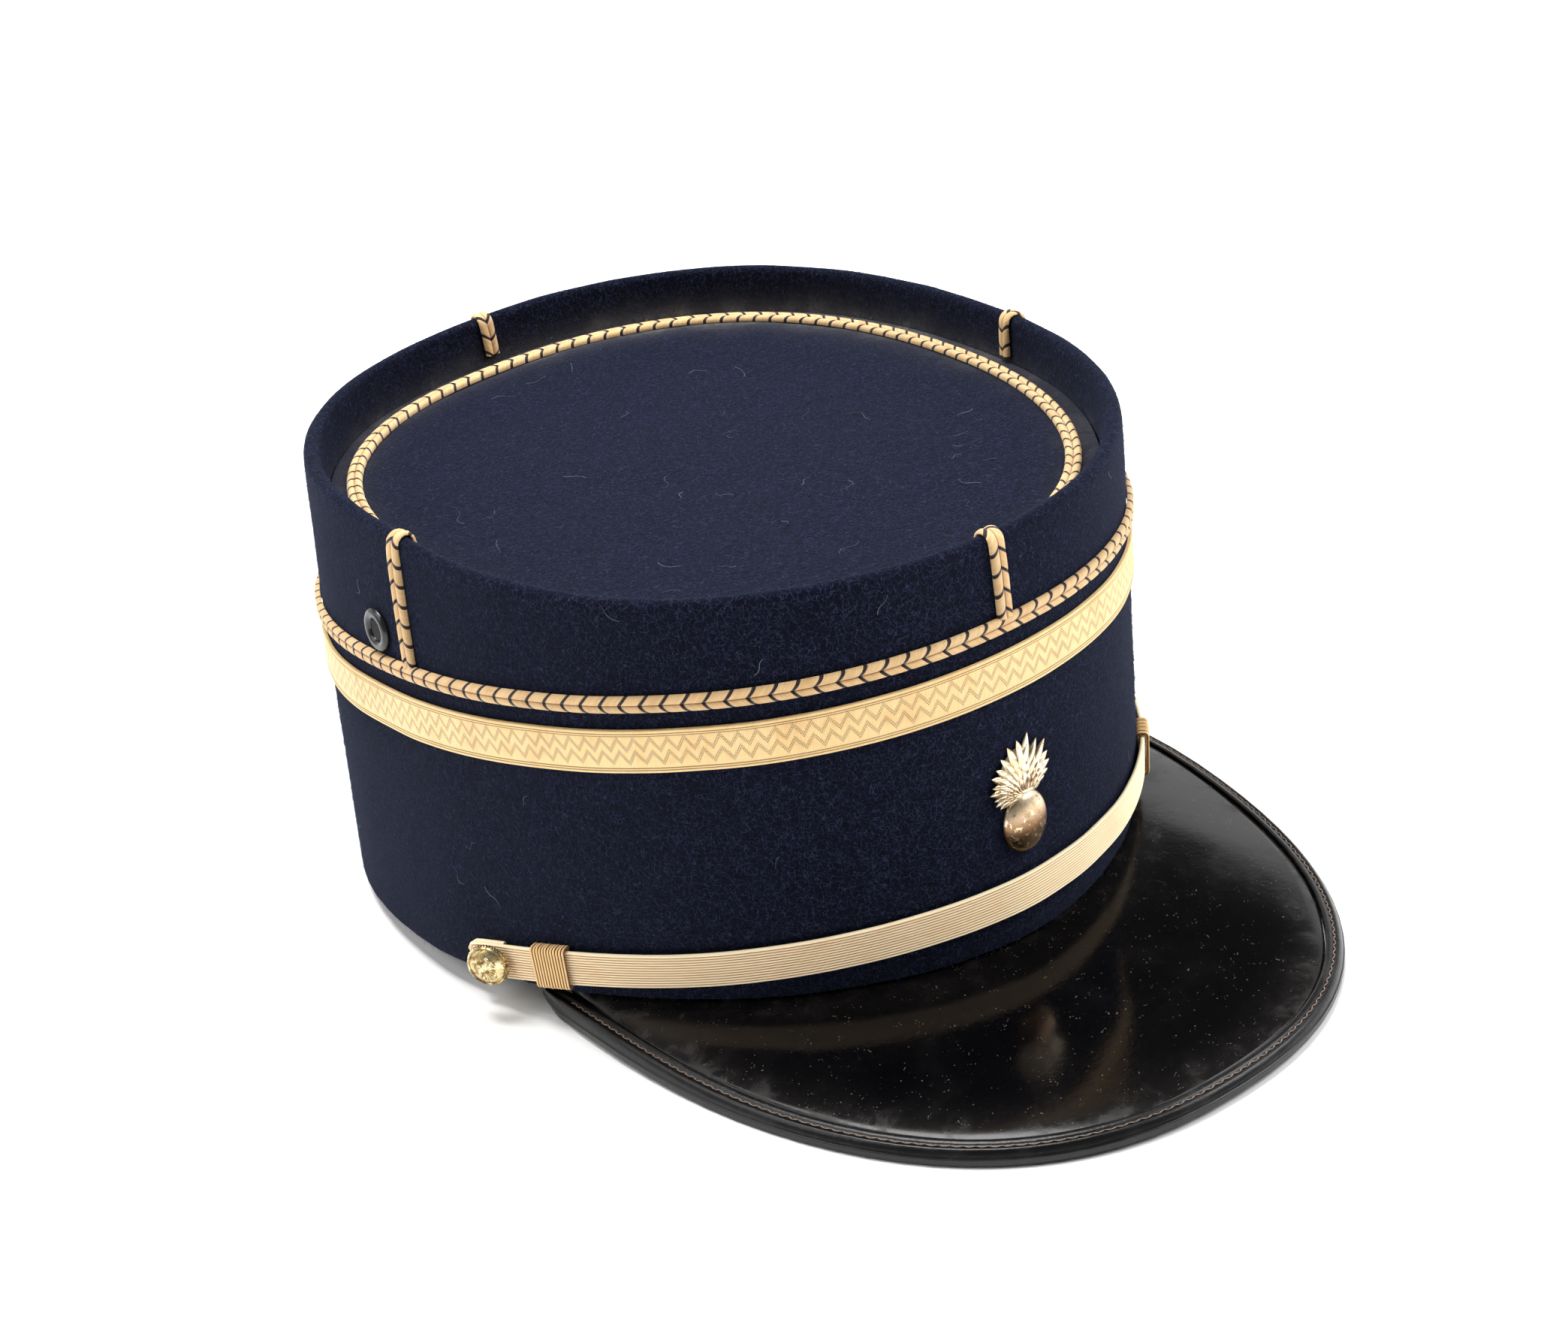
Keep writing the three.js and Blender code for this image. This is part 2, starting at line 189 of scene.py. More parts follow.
def cutEdges(node):
    mesh = frame["nodes"][node].data
    spots = np.array([unstanding @ v.co for v in mesh.vertices])
    pairs = np.array([e.vertices[:] for e in mesh.edges])
    return spots[pairs[:, 0]], spots[pairs[:, 1]]


def sliceNode(edges, angle, centreY=0.0):
    # where a half plane from the cap's axis meets a CAD piece: distance out and height of each cut
    turn = radians(angle)
    out = np.array([sin(turn), -cos(turn)])
    side = np.array([cos(turn), sin(turn)])
    centre = np.array([0.0, centreY])
    first, second = edges
    a = (first[:, :2] - centre) @ side
    b = (second[:, :2] - centre) @ side
    crossed = (a * b) < 0
    share = (a[crossed] / (a[crossed] - b[crossed]))[:, None]
    spots = first[crossed] * (1 - share) + second[crossed] * share
    reach = (spots[:, :2] - centre) @ out
    ahead = reach > 0
    return reach[ahead], spots[ahead, 2]


cameraSetup = {
    "azimuth": -33.268,
    "elevation": 27.693,
    "roll": -7.963,
    "distance": 0.6013,
    "lens": 62.378,
    "aimFromBoxCentre": Vector((-1.53, 8.79, -4.63)) * mm,
}

boxCentre = (cadBox[0] + cadBox[1]) / 2


def directionTo(azimuth, elevation):
    a, e = radians(azimuth), radians(elevation)
    return Vector((sin(a) * cos(e), -cos(a) * cos(e), sin(e)))


def makeCamera():
    back = directionTo(cameraSetup["azimuth"], cameraSetup["elevation"])
    aim = boxCentre + cameraSetup["aimFromBoxCentre"]
    data = bpy.data.cameras.new("capCamera")
    data.lens = cameraSetup["lens"]
    data.sensor_width = 36
    data.clip_start = 0.01
    data.clip_end = 50
    camera = placed("capCamera", data)
    turn = (-back).to_track_quat("-Z", "Y").to_matrix().to_4x4()
    roll = turned(cameraSetup["roll"], "Z")
    camera.matrix_world = Matrix.Translation(aim + back * cameraSetup["distance"]) @ turn @ roll
    bpy.context.scene.camera = camera


softboxes = [
    {"name": "softboxBack", "azimuth": 180, "elevation": 76, "distance": 2.0, "size": 1.0, "power": 60},
    {"name": "softboxRight", "azimuth": 50, "elevation": 42, "distance": 2.0, "size": 1.2, "power": 38},
    {"name": "softboxLeft", "azimuth": -112, "elevation": 42, "distance": 2.0, "size": 1.2, "power": 16},
]
# the backdrop shines behind the cap and is dimmer on the camera's side
studio = {
    "backdrop": 1.1, "frontShare": 0.25, "ceiling": 0.06, "backdropTop": (25.0, 29.0), "backAzimuth": 147,
    "panelAzimuth": 128, "panelRise": 14, "panelReach": (20.0, 26.0), "panelGain": 1.5,
    "floorSize": 8.0, "floorShade": 0.95,
}


def dotOf(tree, look, way):
    return addNode(tree, "VectorMath", {0: look, 1: tuple(way)}, operation="DOT_PRODUCT").outputs["Value"]


def makeStudio():
    for lamp in softboxes:
        data = bpy.data.lights.new(lamp["name"], "AREA")
        data.shape = "SQUARE"
        data.size = lamp["size"]
        data.energy = lamp["power"]
        light = placed(lamp["name"], data)
        away = directionTo(lamp["azimuth"], lamp["elevation"])
        light.location = boxCentre + away * lamp["distance"]
        light.rotation_euler = away.to_track_quat("Z", "Y").to_euler()
    world = bpy.data.worlds.new("paleStudio")
    bpy.context.scene.world = world
    world.use_nodes = True
    tree = world.node_tree
    background = tree.nodes["Background"]
    background.inputs["Color"].default_value = (1, 1, 1, 1)
    look = addNode(tree, "TexCoord").outputs["Generated"]
    rise = addNode(tree, "SeparateXYZ", {0: look}).outputs[2]
    back = directionTo(studio["backAzimuth"], 0)
    facing = dotOf(tree, look, back)
    low, high = (sin(radians(angle)) for angle in studio["backdropTop"])
    shining = ramp(tree, facing, -0.5, 0.5, studio["backdrop"] * studio["frontShare"], studio["backdrop"])
    above = ramp(tree, rise, low, high)
    # one brighter panel of it is what the peak mirrors
    panel = directionTo(studio["panelAzimuth"], studio["panelRise"])
    toPanel = dotOf(tree, look, panel)
    near, far = (cos(radians(angle)) for angle in studio["panelReach"])
    shining = times(tree, shining, ramp(tree, toPanel, far, near, 1.0, studio["panelGain"]))
    lowPart = times(tree, shining, minus(tree, 1.0, above))
    glow = plus(tree, lowPart, times(tree, above, studio["ceiling"]))
    tree.links.new(glow, background.inputs["Strength"])
    deselectAll()
    bpy.ops.mesh.primitive_plane_add(size=studio["floorSize"], location=(0, 0, 0))
    floor = bpy.context.object
    floor.name = "paleFloor"
    shade = studio["floorShade"]
    pale = (shade, shade, shade, 1)
    paper = newMaterial("palePaper", Base_Color=pale, Roughness=0.9, Specular_IOR_Level=0.1)
    floor.data.materials.append(paper[0])


def addNode(tree, kind, inputs=None, **settings):
    # an input is either another node's output or a plain value
    made = tree.nodes.new("ShaderNode" + kind)
    for key, value in settings.items():
        setattr(made, key, value)
    for key, value in (inputs or {}).items():
        if isinstance(value, bpy.types.NodeSocket):
            tree.links.new(value, made.inputs[key])
        else:
            made.inputs[key].default_value = value
    return made


def calc(tree, operation, a, b=0.0, c=0.0, clamp=False):
    return addNode(tree, "Math", {0: a, 1: b, 2: c}, operation=operation, use_clamp=clamp).outputs[0]


def times(tree, a, b, clamp=False):
    return calc(tree, "MULTIPLY", a, b, clamp=clamp)


def plus(tree, a, b, clamp=False):
    return calc(tree, "ADD", a, b, clamp=clamp)


def minus(tree, a, b):
    return calc(tree, "SUBTRACT", a, b)


def blendColors(tree, amount, a, b):
    return addNode(tree, "Mix", {0: amount, 6: a, 7: b}, data_type="RGBA").outputs[2]


def layered(tree, base, *layers):
    # colours laid over each other, each where its mask is and only as strong as its share
    for mask, share, levels in layers:
        base = blendColors(tree, mask if share == 1 else times(tree, mask, share), base, color(*levels))
    return base


def ramp(tree, value, low, high, outLow=0.0, outHigh=1.0):
    made = addNode(tree, "MapRange", {0: value, 1: low, 2: high, 3: outLow, 4: outHigh},
                   interpolation_type="SMOOTHSTEP")
    return made.outputs[0]


def noiseOf(tree, place, scale, detail=3.0, roughness=0.55, distortion=0.0):
    made = addNode(tree, "TexNoise", {"Vector": place, "Scale": scale, "Detail": detail,
                                      "Roughness": roughness, "Distortion": distortion})
    return made.outputs[0]


def color(*levels):
    # from 0-255 screen levels to linear light
    return tuple((level / 255 / 12.92 if level <= 10 else ((level / 255 + 0.055) / 1.055) ** 2.4)
                 for level in levels) + (1.0,)


def newMaterial(name, **fixed):
    material = bpy.data.materials.new(name)
    material.use_nodes = True
    tree = material.node_tree
    shader = tree.nodes["Principled BSDF"]
    for key, value in fixed.items():
        shader.inputs[key.replace("_", " ")].default_value = value
    return material, tree, addNode(tree, "TexCoord").outputs["Object"]


def finishLook(material, paint, height=None, distance=0.0, strength=1.0, rough=None):
    # the paint, its relief and its roughness go into the material's shader
    tree = material.node_tree
    shader = tree.nodes["Principled BSDF"]
    tree.links.new(paint, shader.inputs["Base Color"])
    if height is not None:
        bump = addNode(tree, "Bump", {"Height": height, "Distance": distance, "Strength": strength})
        tree.links.new(bump.outputs[0], shader.inputs["Normal"])
    if rough is not None:
        tree.links.new(rough, shader.inputs["Roughness"])
    return material


bpy.context.scene.view_settings.view_transform = "Standard"
makeCamera()
makeStudio()
print("camera, softboxes and floor in place")


def newGroup(name, inputs, outputs):
    group = bpy.data.node_groups.new(name, "ShaderNodeTree")
    for label, kind, value in inputs:
        socket = group.interface.new_socket(name=label, in_out="INPUT", socket_type="NodeSocket" + kind)
        if value is not None:
            socket.default_value = value
    for label, kind in outputs:
        group.interface.new_socket(name=label, in_out="OUTPUT", socket_type="NodeSocket" + kind)
    return group, group.nodes.new("NodeGroupInput").outputs, group.nodes.new("NodeGroupOutput").inputs


def useGroup(tree, group, inputs):
    return addNode(tree, "Group", inputs, node_tree=group).outputs


def makeDustFilm():
    # cloudy dust with small specks in it
    group, given, result = newGroup(
        "dustFilm",
        [("Place", "Vector", None), ("Cloud Scale", "Float", 60.0), ("Speck Scale", "Float", 500.0),
         ("Cloud", "Float", 0.3), ("Specks", "Float", 0.3)],
        [("Mask", "Float"), ("Speck", "Float")])
    cloud = noiseOf(group, given["Place"], given["Cloud Scale"], 6.0, 0.65, 0.4)
    cloud = ramp(group, cloud, 0.42, 0.78)
    cells = addNode(group, "TexVoronoi", {"Vector": given["Place"], "Scale": given["Speck Scale"]})
    size = ramp(group, noiseOf(group, given["Place"], times(group, given["Speck Scale"], 0.31)),
                0.45, 0.75, 0.0, 0.3)
    speck = calc(group, "LESS_THAN", cells.outputs["Distance"], size)
    group.links.new(speck, result["Speck"])
    soft = times(group, cloud, given["Cloud"])
    hard = times(group, speck, given["Specks"])
    group.links.new(plus(group, soft, hard, clamp=True), result["Mask"])
    return group


def makeThreadTwist():
    # fine slanting threads, from a place measured in millimetres along and across a band
    group, given, result = newGroup(
        "threadTwist",
        [("Along", "Float", 0.0), ("Across", "Float", 0.0), ("Slant", "Float", 1.0), ("Pitch", "Float", 0.3)],
        [("Height", "Float"), ("Shade", "Float")])
    slanted = calc(group, "MULTIPLY_ADD", given["Across"], given["Slant"], given["Along"])
    turns = calc(group, "DIVIDE", slanted, given["Pitch"])
    wave = calc(group, "PINGPONG", turns, 0.5)
    group.links.new(ramp(group, wave, 0.0, 0.35), result["Height"])
    each = addNode(group, "TexWhiteNoise", {"W": calc(group, "FLOOR", turns)}, noise_dimensions="1D")
    group.links.new(each.outputs[0], result["Shade"])
    return group


def makeTarnish():
    # brown tarnish that gathers in patches and in hollows
    group, given, result = newGroup(
        "tarnish", [("Place", "Vector", None), ("Scale", "Float", 400.0), ("Reach", "Float", 0.5)],
        [("Mask", "Float"), ("Grit", "Float")])
    patches = noiseOf(group, given["Place"], given["Scale"], 5.0, 0.6, 0.3)
    grit = noiseOf(group, given["Place"], times(group, given["Scale"], 7.0), 3.0, 0.7)
    hollow = addNode(group, "NewGeometry").outputs["Pointiness"]
    hollow = ramp(group, hollow, 0.5, 0.42)
    spread = plus(group, patches, times(group, grit, 0.35))
    low, high = (minus(group, level, given["Reach"]) for level in (1.05, 1.2))
    spread = ramp(group, spread, low, high)
    group.links.new(calc(group, "MAXIMUM", spread, hollow), result["Mask"])
    group.links.new(grit, result["Grit"])
    return group


dustFilm = makeDustFilm()
threadTwist = makeThreadTwist()
tarnish = makeTarnish()


def dustOn(tree, place, cloudScale, speckScale, cloud, specks):
    return useGroup(tree, dustFilm, {"Place": place, "Cloud Scale": cloudScale, "Speck Scale": speckScale,
                                     "Cloud": cloud, "Specks": specks})


def twistOf(tree, along, across, slant, pitch):
    return useGroup(tree, threadTwist, {"Along": along, "Across": across, "Slant": slant, "Pitch": pitch})


def markOf(tree, name):
    return addNode(tree, "Attribute", attribute_name=name).outputs["Fac"]


def layOf(tree):
    # a band's own millimetres: along it and across it
    parts = addNode(tree, "SeparateXYZ", {0: addNode(tree, "UVMap", uv_map="lay").outputs[0]})
    return parts.outputs[0], parts.outputs[1]


feltLook = {
    "deep": color(2, 3, 10), "mid": color(12, 15, 34), "fibre": color(70, 80, 114),
    "dust": color(150, 146, 140), "napDepth": 0.5 * mm,
}


def feltCloth():
    material, tree, place = newMaterial(
        "navyFelt", Roughness=0.95, Sheen_Weight=0.07, Sheen_Roughness=0.5,
        Sheen_Tint=(0.4, 0.48, 0.8, 1), Specular_IOR_Level=0.08)
    broad = noiseOf(tree, place, 420.0, 4.0, 0.65)
    fine = noiseOf(tree, place, 1500.0, 4.0, 0.7, 0.6)
    sway = addNode(tree, "TexNoise", {"Vector": place, "Scale": 420.0}).outputs[1]
    sway = addNode(tree, "VectorMath", {0: sway, 3: 0.004}, operation="SCALE").outputs[0]
    bent = addNode(tree, "VectorMath", {0: place, 1: sway}, operation="ADD").outputs[0]
    net = addNode(tree, "TexVoronoi", {"Vector": bent, "Scale": 620.0}, feature="DISTANCE_TO_EDGE").outputs[0]
    fibre = ramp(tree, net, 0.07, 0.0)
    fibre = times(tree, fibre, ramp(tree, fine, 0.35, 0.7))
    tone = ramp(tree, calc(tree, "MULTIPLY_ADD", broad, 0.45, times(tree, fine, 0.55)), 0.32, 0.66)
    cloth = blendColors(tree, tone, feltLook["deep"], feltLook["mid"])
    cloth = blendColors(tree, times(tree, fibre, 0.5), cloth, feltLook["fibre"])
    film = dustOn(tree, place, 90.0, 900.0, 0.75, 0.8)
    settled = markOf(tree, "dust")
    thick = plus(tree, 0.34, times(tree, film["Mask"], 0.8))
    settled = times(tree, settled, thick, clamp=True)
    cloth = blendColors(tree, settled, cloth, feltLook["dust"])
    height = calc(tree, "MULTIPLY_ADD", fine, 0.7, times(tree, fibre, 0.4))
    return finishLook(material, cloth, height, feltLook["napDepth"])


felt = feltCloth()

feltShape = {"waveSize": 0.022, "wallWave": 0.5 * mm, "topWave": 0.45 * mm, "baseCrease": 0.75,
             "lowestRay": 2.2 * mm, "topInsets": (0.25, 0.6, 1.2, 2.4), "topRings": 13}


def markOn(piece, name):
    return piece.data.attributes.new(name, "FLOAT", "POINT").data


def smoothed(piece, levels):
    smooth = piece.modifiers.new("smooth", "SUBSURF")
    smooth.levels = smooth.render_levels = levels


def waveSurface(piece, name, size, depth):
    # the small unevenness of cloth that was formed by hand
    clouds = bpy.data.textures.new(name, "CLOUDS")
    clouds.noise_scale = size
    clouds.noise_depth = 1
    wave = piece.modifiers.new("wave", "DISPLACE")
    wave.texture = clouds
    wave.texture_coords = "LOCAL"
    wave.strength = depth
    wave.mid_level = 0.5


def makeFeltWall():
    wall = modelOf("crown_wall", "felt_wall")
    with editing(wall, "EDGE", "DESELECT"):
        bpy.ops.object.mode_set(mode="OBJECT")
        for edge in wall.data.edges:
            edge.select = all(abs(wall.data.vertices[i].co.z) < 0.05 * mm for i in edge.vertices)
        bpy.ops.object.mode_set(mode="EDIT")
        bpy.ops.transform.edge_crease(value=feltShape["baseCrease"])
    loose = sum(len(face.vertices) != 4 for face in wall.data.polygons)
    print("felt wall faces", len(wall.data.polygons), "not four-sided", loose)
    smoothed(wall, 2)
    waveSurface(wall, "wallWaves", feltShape["waveSize"], feltShape["wallWave"])
    applyModifiers(wall)
    return tidySurface(wall, angle=60)


feltWall = makeFeltWall()
feltTree = treeOf(feltWall)
print("felt wall shaped")


def outwardAt(angle):
    turn = radians(angle)
    return Vector((sin(turn), -cos(turn), 0))


def feltPoint(angle, height):
    # the wall's outer face; angles run from the front, with the wearer's left positive
    out = outwardAt(angle)
    hit, normal, _, _ = feltTree.ray_cast(out * farAway + Vector((0, 0, height)), -out)
    return hit, normal


def wallLean(angle, height, reach):
    low = feltPoint(angle, max(height - reach, feltShape["lowestRay"]))[0]
    high = feltPoint(angle, height + reach)[0]
    out = outwardAt(angle)
    return atan2((high - low).dot(out), high.z - low.z)


def wallFrame(angle, height, out):
    # X along the wall to the wearer's left, Y up it, Z straight out of it
    reach = 4 * mm
    spot = feltPoint(angle, height)[0]
    low = feltPoint(angle, max(height - reach, feltShape["lowestRay"]))[0]
    up = (feltPoint(angle, height + reach)[0] - low).normalized()
    along = (feltPoint(angle + 2, height)[0] - feltPoint(angle - 2, height)[0]).normalized()
    outward = along.cross(up).normalized()
    up = outward.cross(along).normalized()
    turn = Matrix((along, up, outward)).transposed().to_4x4()
    return Matrix.Translation(spot + outward * out) @ turn


def angleOfNode(node):
    low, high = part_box(node)
    centre = unstanding @ ((low + high) / 2)
    return degrees(atan2(centre.x, -centre.y)), centre.z


def makeFeltTop():
    top = modelOf("crown_top", "felt_top")
    with editing(top):
        bpy.ops.mesh.dissolve_limited(angle_limit=radians(1))
    with editing(top, "FACE", "DESELECT"):
        bpy.ops.object.mode_set(mode="OBJECT")
        for face in top.data.polygons:
            face.select = face.normal.z > 0.9
        bpy.ops.object.mode_set(mode="EDIT")
        for thickness in feltShape["topInsets"]:
            bpy.ops.mesh.inset(thickness=thickness * mm)
        for ring in range(feltShape["topRings"], 0, -1):
            share = (ring - 0.8) / ring
            bpy.ops.mesh.extrude_region_move()
            bpy.ops.transform.resize(value=(share, share, share))
        bpy.ops.mesh.poke()
    bevel = top.modifiers.new("softEdge", "BEVEL")
    bevel.width = 0.5 * mm
    bevel.segments = 3
    bevel.limit_method = "ANGLE"
    bevel.angle_limit = radians(50)
    smoothed(top, 1)
    waveSurface(top, "topWaves", feltShape["waveSize"], feltShape["topWave"])
    applyModifiers(top)
    return tidySurface(top, angle=60)


feltTop = makeFeltTop()
print("felt top shaped, faces", len(feltTop.data.polygons))
topTree = treeOf(feltTop)


def topAt(x, y):
    return topTree.ray_cast(Vector((x, y, farAway)), Vector((0, 0, -1)))


topFront, topBack = topAt(0, -60 * mm)[0], topAt(0, 60 * mm)[0]
topSlope = (topBack.z - topFront.z) / (topBack.y - topFront.y)


def topLevel(y):
    # the sunken top is one flat panel that rises towards the back
    return topFront.z + (y - topFront.y) * topSlope


dustLay = {"middle": 138, "spread": 46, "elsewhere": 0.15, "climb": 1.9 * mm, "creep": 3 * mm,
           "edge": 10 * mm}


def dustAround(angle):
    off = (angle - dustLay["middle"] + 180) % 360 - 180
    return dustLay["elsewhere"] + (1 - dustLay["elsewhere"]) * exp(-(off / dustLay["spread"]) ** 2)


def strewDust():
    # dust lies in the groove between the rim and the sunken top, thickest at the back left
    for piece in (feltWall, feltTop):
        marks = markOn(piece, "dust")
        for vertex in piece.data.vertices:
            spot = vertex.co
            above = spot.z - topLevel(spot.y)
            if above < -1.2 * mm or above > 11 * mm:
                continue
            angle = degrees(atan2(spot.x, -spot.y))
            face = feltPoint(angle, spot.z)[0]
            if face is None:
                continue
            inset = (face - spot).xy.length
            if inset < 3 * mm:
                continue
            if piece is feltWall:
                level = exp(-max(above, 0) / dustLay["climb"])
            else:
                level = exp(-max(inset - dustLay["edge"], 0) / dustLay["creep"])
            marks[vertex.index].value = level * dustAround(angle)


strewDust()


# Bands are straight strips that are bent along a path.
def curveThrough(name, points, closed, tilts=None):
    data = bpy.data.curves.new(name, "CURVE")
    data.dimensions = "3D"
    spline = data.splines.new("POLY")
    spline.points.add(len(points) - 1)
    for spot, point, tilt in zip(spline.points, points, tilts or [0] * len(points)):
        spot.co = (*point, 1)
        spot.tilt = tilt
    spline.use_cyclic_u = closed
    return placed(name, data)


def lengthOf(points, closed):
    pairs = list(zip(points, points[1:] + points[:1])) if closed else list(zip(points, points[1:]))
    return sum((b - a).length for a, b in pairs)


def layLayer(piece):
    # the band's own map: millimetres along it and across it
    layers = piece.data.uv_layers
    lay = layers[0] if layers else layers.new()
    lay.name = "lay"
    return lay


def straightStrip(name, section, length, step, relief=None):
    # the section is a closed row of (across, lift); relief presses or raises it along the strip
    steps = max(2, round(length / step))
    rows = len(section) - 1
    bpy.ops.mesh.primitive_grid_add(x_subdivisions=steps, y_subdivisions=rows, size=1)
    strip = bpy.context.object
    strip.name = name
    lay = layLayer(strip)
    placeOf = []
    for vertex in strip.data.vertices:
        across, lift = section[round((vertex.co.y + 0.5) * rows)]
        along = (vertex.co.x + 0.5) * length
        placeOf.append((along / mm, across / mm))
        if relief:
            across, lift = relief(along, across, lift)
        vertex.co = (along, lift, across)
    for loop in strip.data.loops:
        lay.data[loop.index].uv = placeOf[loop.vertex_index]
    return strip


def bentAlong(piece, points, tilts, closed, place=standing):
    path = curveThrough("bandPath", points, closed, tilts)
    path.data.twist_mode = "Z_UP"
    bend = piece.modifiers.new("bend", "CURVE")
    bend.object = path
    applyModifiers(piece)
    bpy.data.objects.remove(path)
    piece.data.transform(place)
    return piece


ringAngles = [180 - 1.5 * i for i in range(240)]


def wallRing(node, clearance):
    # the line of a band's back round the wall, taken from its CAD piece's heights
    edges = cutEdges(node)
    points, tilts = [], []
    for angle in ringAngles:
        heights = sliceNode(edges, angle + offSeam)[1]
        height = float(heights.min() + heights.max()) / 2
        points.append(feltPoint(angle, height)[0] + outwardAt(angle) * clearance)
        tilts.append(-wallLean(angle, height, 2.5 * mm))
    return points, tilts


braidShape = {
    "width": 3.6 * mm, "thickness": 1.35 * mm, "clearance": 0.25 * mm, "step": 0.55 * mm,
    "tracerPitch": 4.3, "tracerSlant": 0.9, "tracerPress": 0.13 * mm, "turned": {"right_braid": -1.8},
    "pressed": 0.42, "pressReach": 5 * mm, "fold": 1.8 * mm, "overlap": 0.4 * mm,
    "wallStep": 2.5 * mm, "rimStep": 1.5 * mm, "insideGap": 1.4 * mm,
}
# share of the half width, share of the thickness: two round ribs with a groove between them
ribRows = [(0, 0.66), (0.1, 0.8), (0.25, 0.94), (0.45, 1.0), (0.65, 0.96), (0.82, 0.82), (0.94, 0.55),
           (1.0, 0.25), (0.97, 0.0)]


def braidSection():
    half, thick = braidShape["width"] / 2, braidShape["thickness"]
    left = [(-share * half, up * thick) for share, up in reversed(ribRows)]
    right = [(share * half, up * thick) for share, up in ribRows[1:]]
    return left + right + [(half * 0.4, 0), (-half * 0.4, 0), left[0]]


def tracerRelief(along, across, lift):
    # each dark thread sinks a little into the ribs
    if lift < 0.3 * mm:
        return across, lift
    phase = (along / mm + braidShape["tracerSlant"] * abs(across) / mm) / braidShape["tracerPitch"]
    off = (phase % 1 - 0.5) * braidShape["tracerPitch"]
    dip = exp(-(off / 0.42) ** 2)
    return across * (1 - 0.035 * dip), lift - braidShape["tracerPress"] * dip


def braidLook():
    material, tree, place = newMaterial(
        "goldBraid", Roughness=0.62, Sheen_Weight=0.25, Sheen_Roughness=0.4,
        Specular_IOR_Level=0.35)
    along, across = layOf(tree)
    away = calc(tree, "ABSOLUTE", across)
    wobble = calc(tree, "MULTIPLY_ADD", noiseOf(tree, place, 180.0, 2.0), 0.5, -0.25)
    phase = plus(tree, calc(tree, "MULTIPLY_ADD", away, braidShape["tracerSlant"], along), wobble)
    turns = calc(tree, "FRACT", calc(tree, "DIVIDE", phase, braidShape["tracerPitch"]))
    off = calc(tree, "ABSOLUTE", minus(tree, turns, 0.5))
    off = times(tree, off, braidShape["tracerPitch"])
    tracer = ramp(tree, off, 0.48, 0.34)
    threads = twistOf(tree, plus(tree, along, wobble), away, braidShape["tracerSlant"], 0.3)
    worn = ramp(tree, noiseOf(tree, place, 240.0, 3.0), 0.45, 0.75, 0.0, 0.4)
    # painted shade: the groove between the two ribs is coloured darker
    grooveShade = ramp(tree, away, 0.22, 0.05, 0.0, 0.65)
    # painted highlight and shade: the thread crests are coloured lighter than the gaps between them
    gold = layered(tree, color(208, 158, 98),
                   (threads["Height"], 1, (242, 202, 144)),
                   (threads["Shade"], 0.35, (255, 232, 188)),
                   (worn, 1, (205, 156, 100)),
                   (grooveShade, 1, (150, 104, 66)),
                   (tracer, 1, (30, 14, 26)))
    height = minus(tree, threads["Height"], times(tree, tracer, 0.8))
    return finishLook(material, gold, height, 0.12 * mm, 0.8)


goldBraid = braidLook()


def makeClosedBraid(node, points, tilts):
    length = lengthOf(points, True)
    chevrons = round(length / mm / braidShape["tracerPitch"])
    fitted = length / chevrons / braidShape["tracerPitch"] / mm  # a whole number of chevrons
    strip = straightStrip(node + "_cord", braidSection(), length / fitted, braidShape["step"], tracerRelief)
    strip.data.transform(Matrix.Scale(fitted, 4, (1, 0, 0)))
    bentAlong(strip, points, tilts, True)
    tidySurface(strip, 0.02 * mm)
    return finishPiece(strip, goldBraid, "braid", node)


def topBraidRing():
    edges = cutEdges("top_braid")
    points, tilts = [], []
    for angle in ringAngles:
        reach, height = sliceNode(edges, angle + offSeam)
        climb = -topSlope * cos(radians(angle))
        middle = float(reach.min() + reach.max()) / 2
        spot = outwardAt(angle) * middle
        points.append(Vector((spot.x, spot.y, float(height.min()))))
        tilts.append(radians(90) + atan(climb))
    return points, tilts


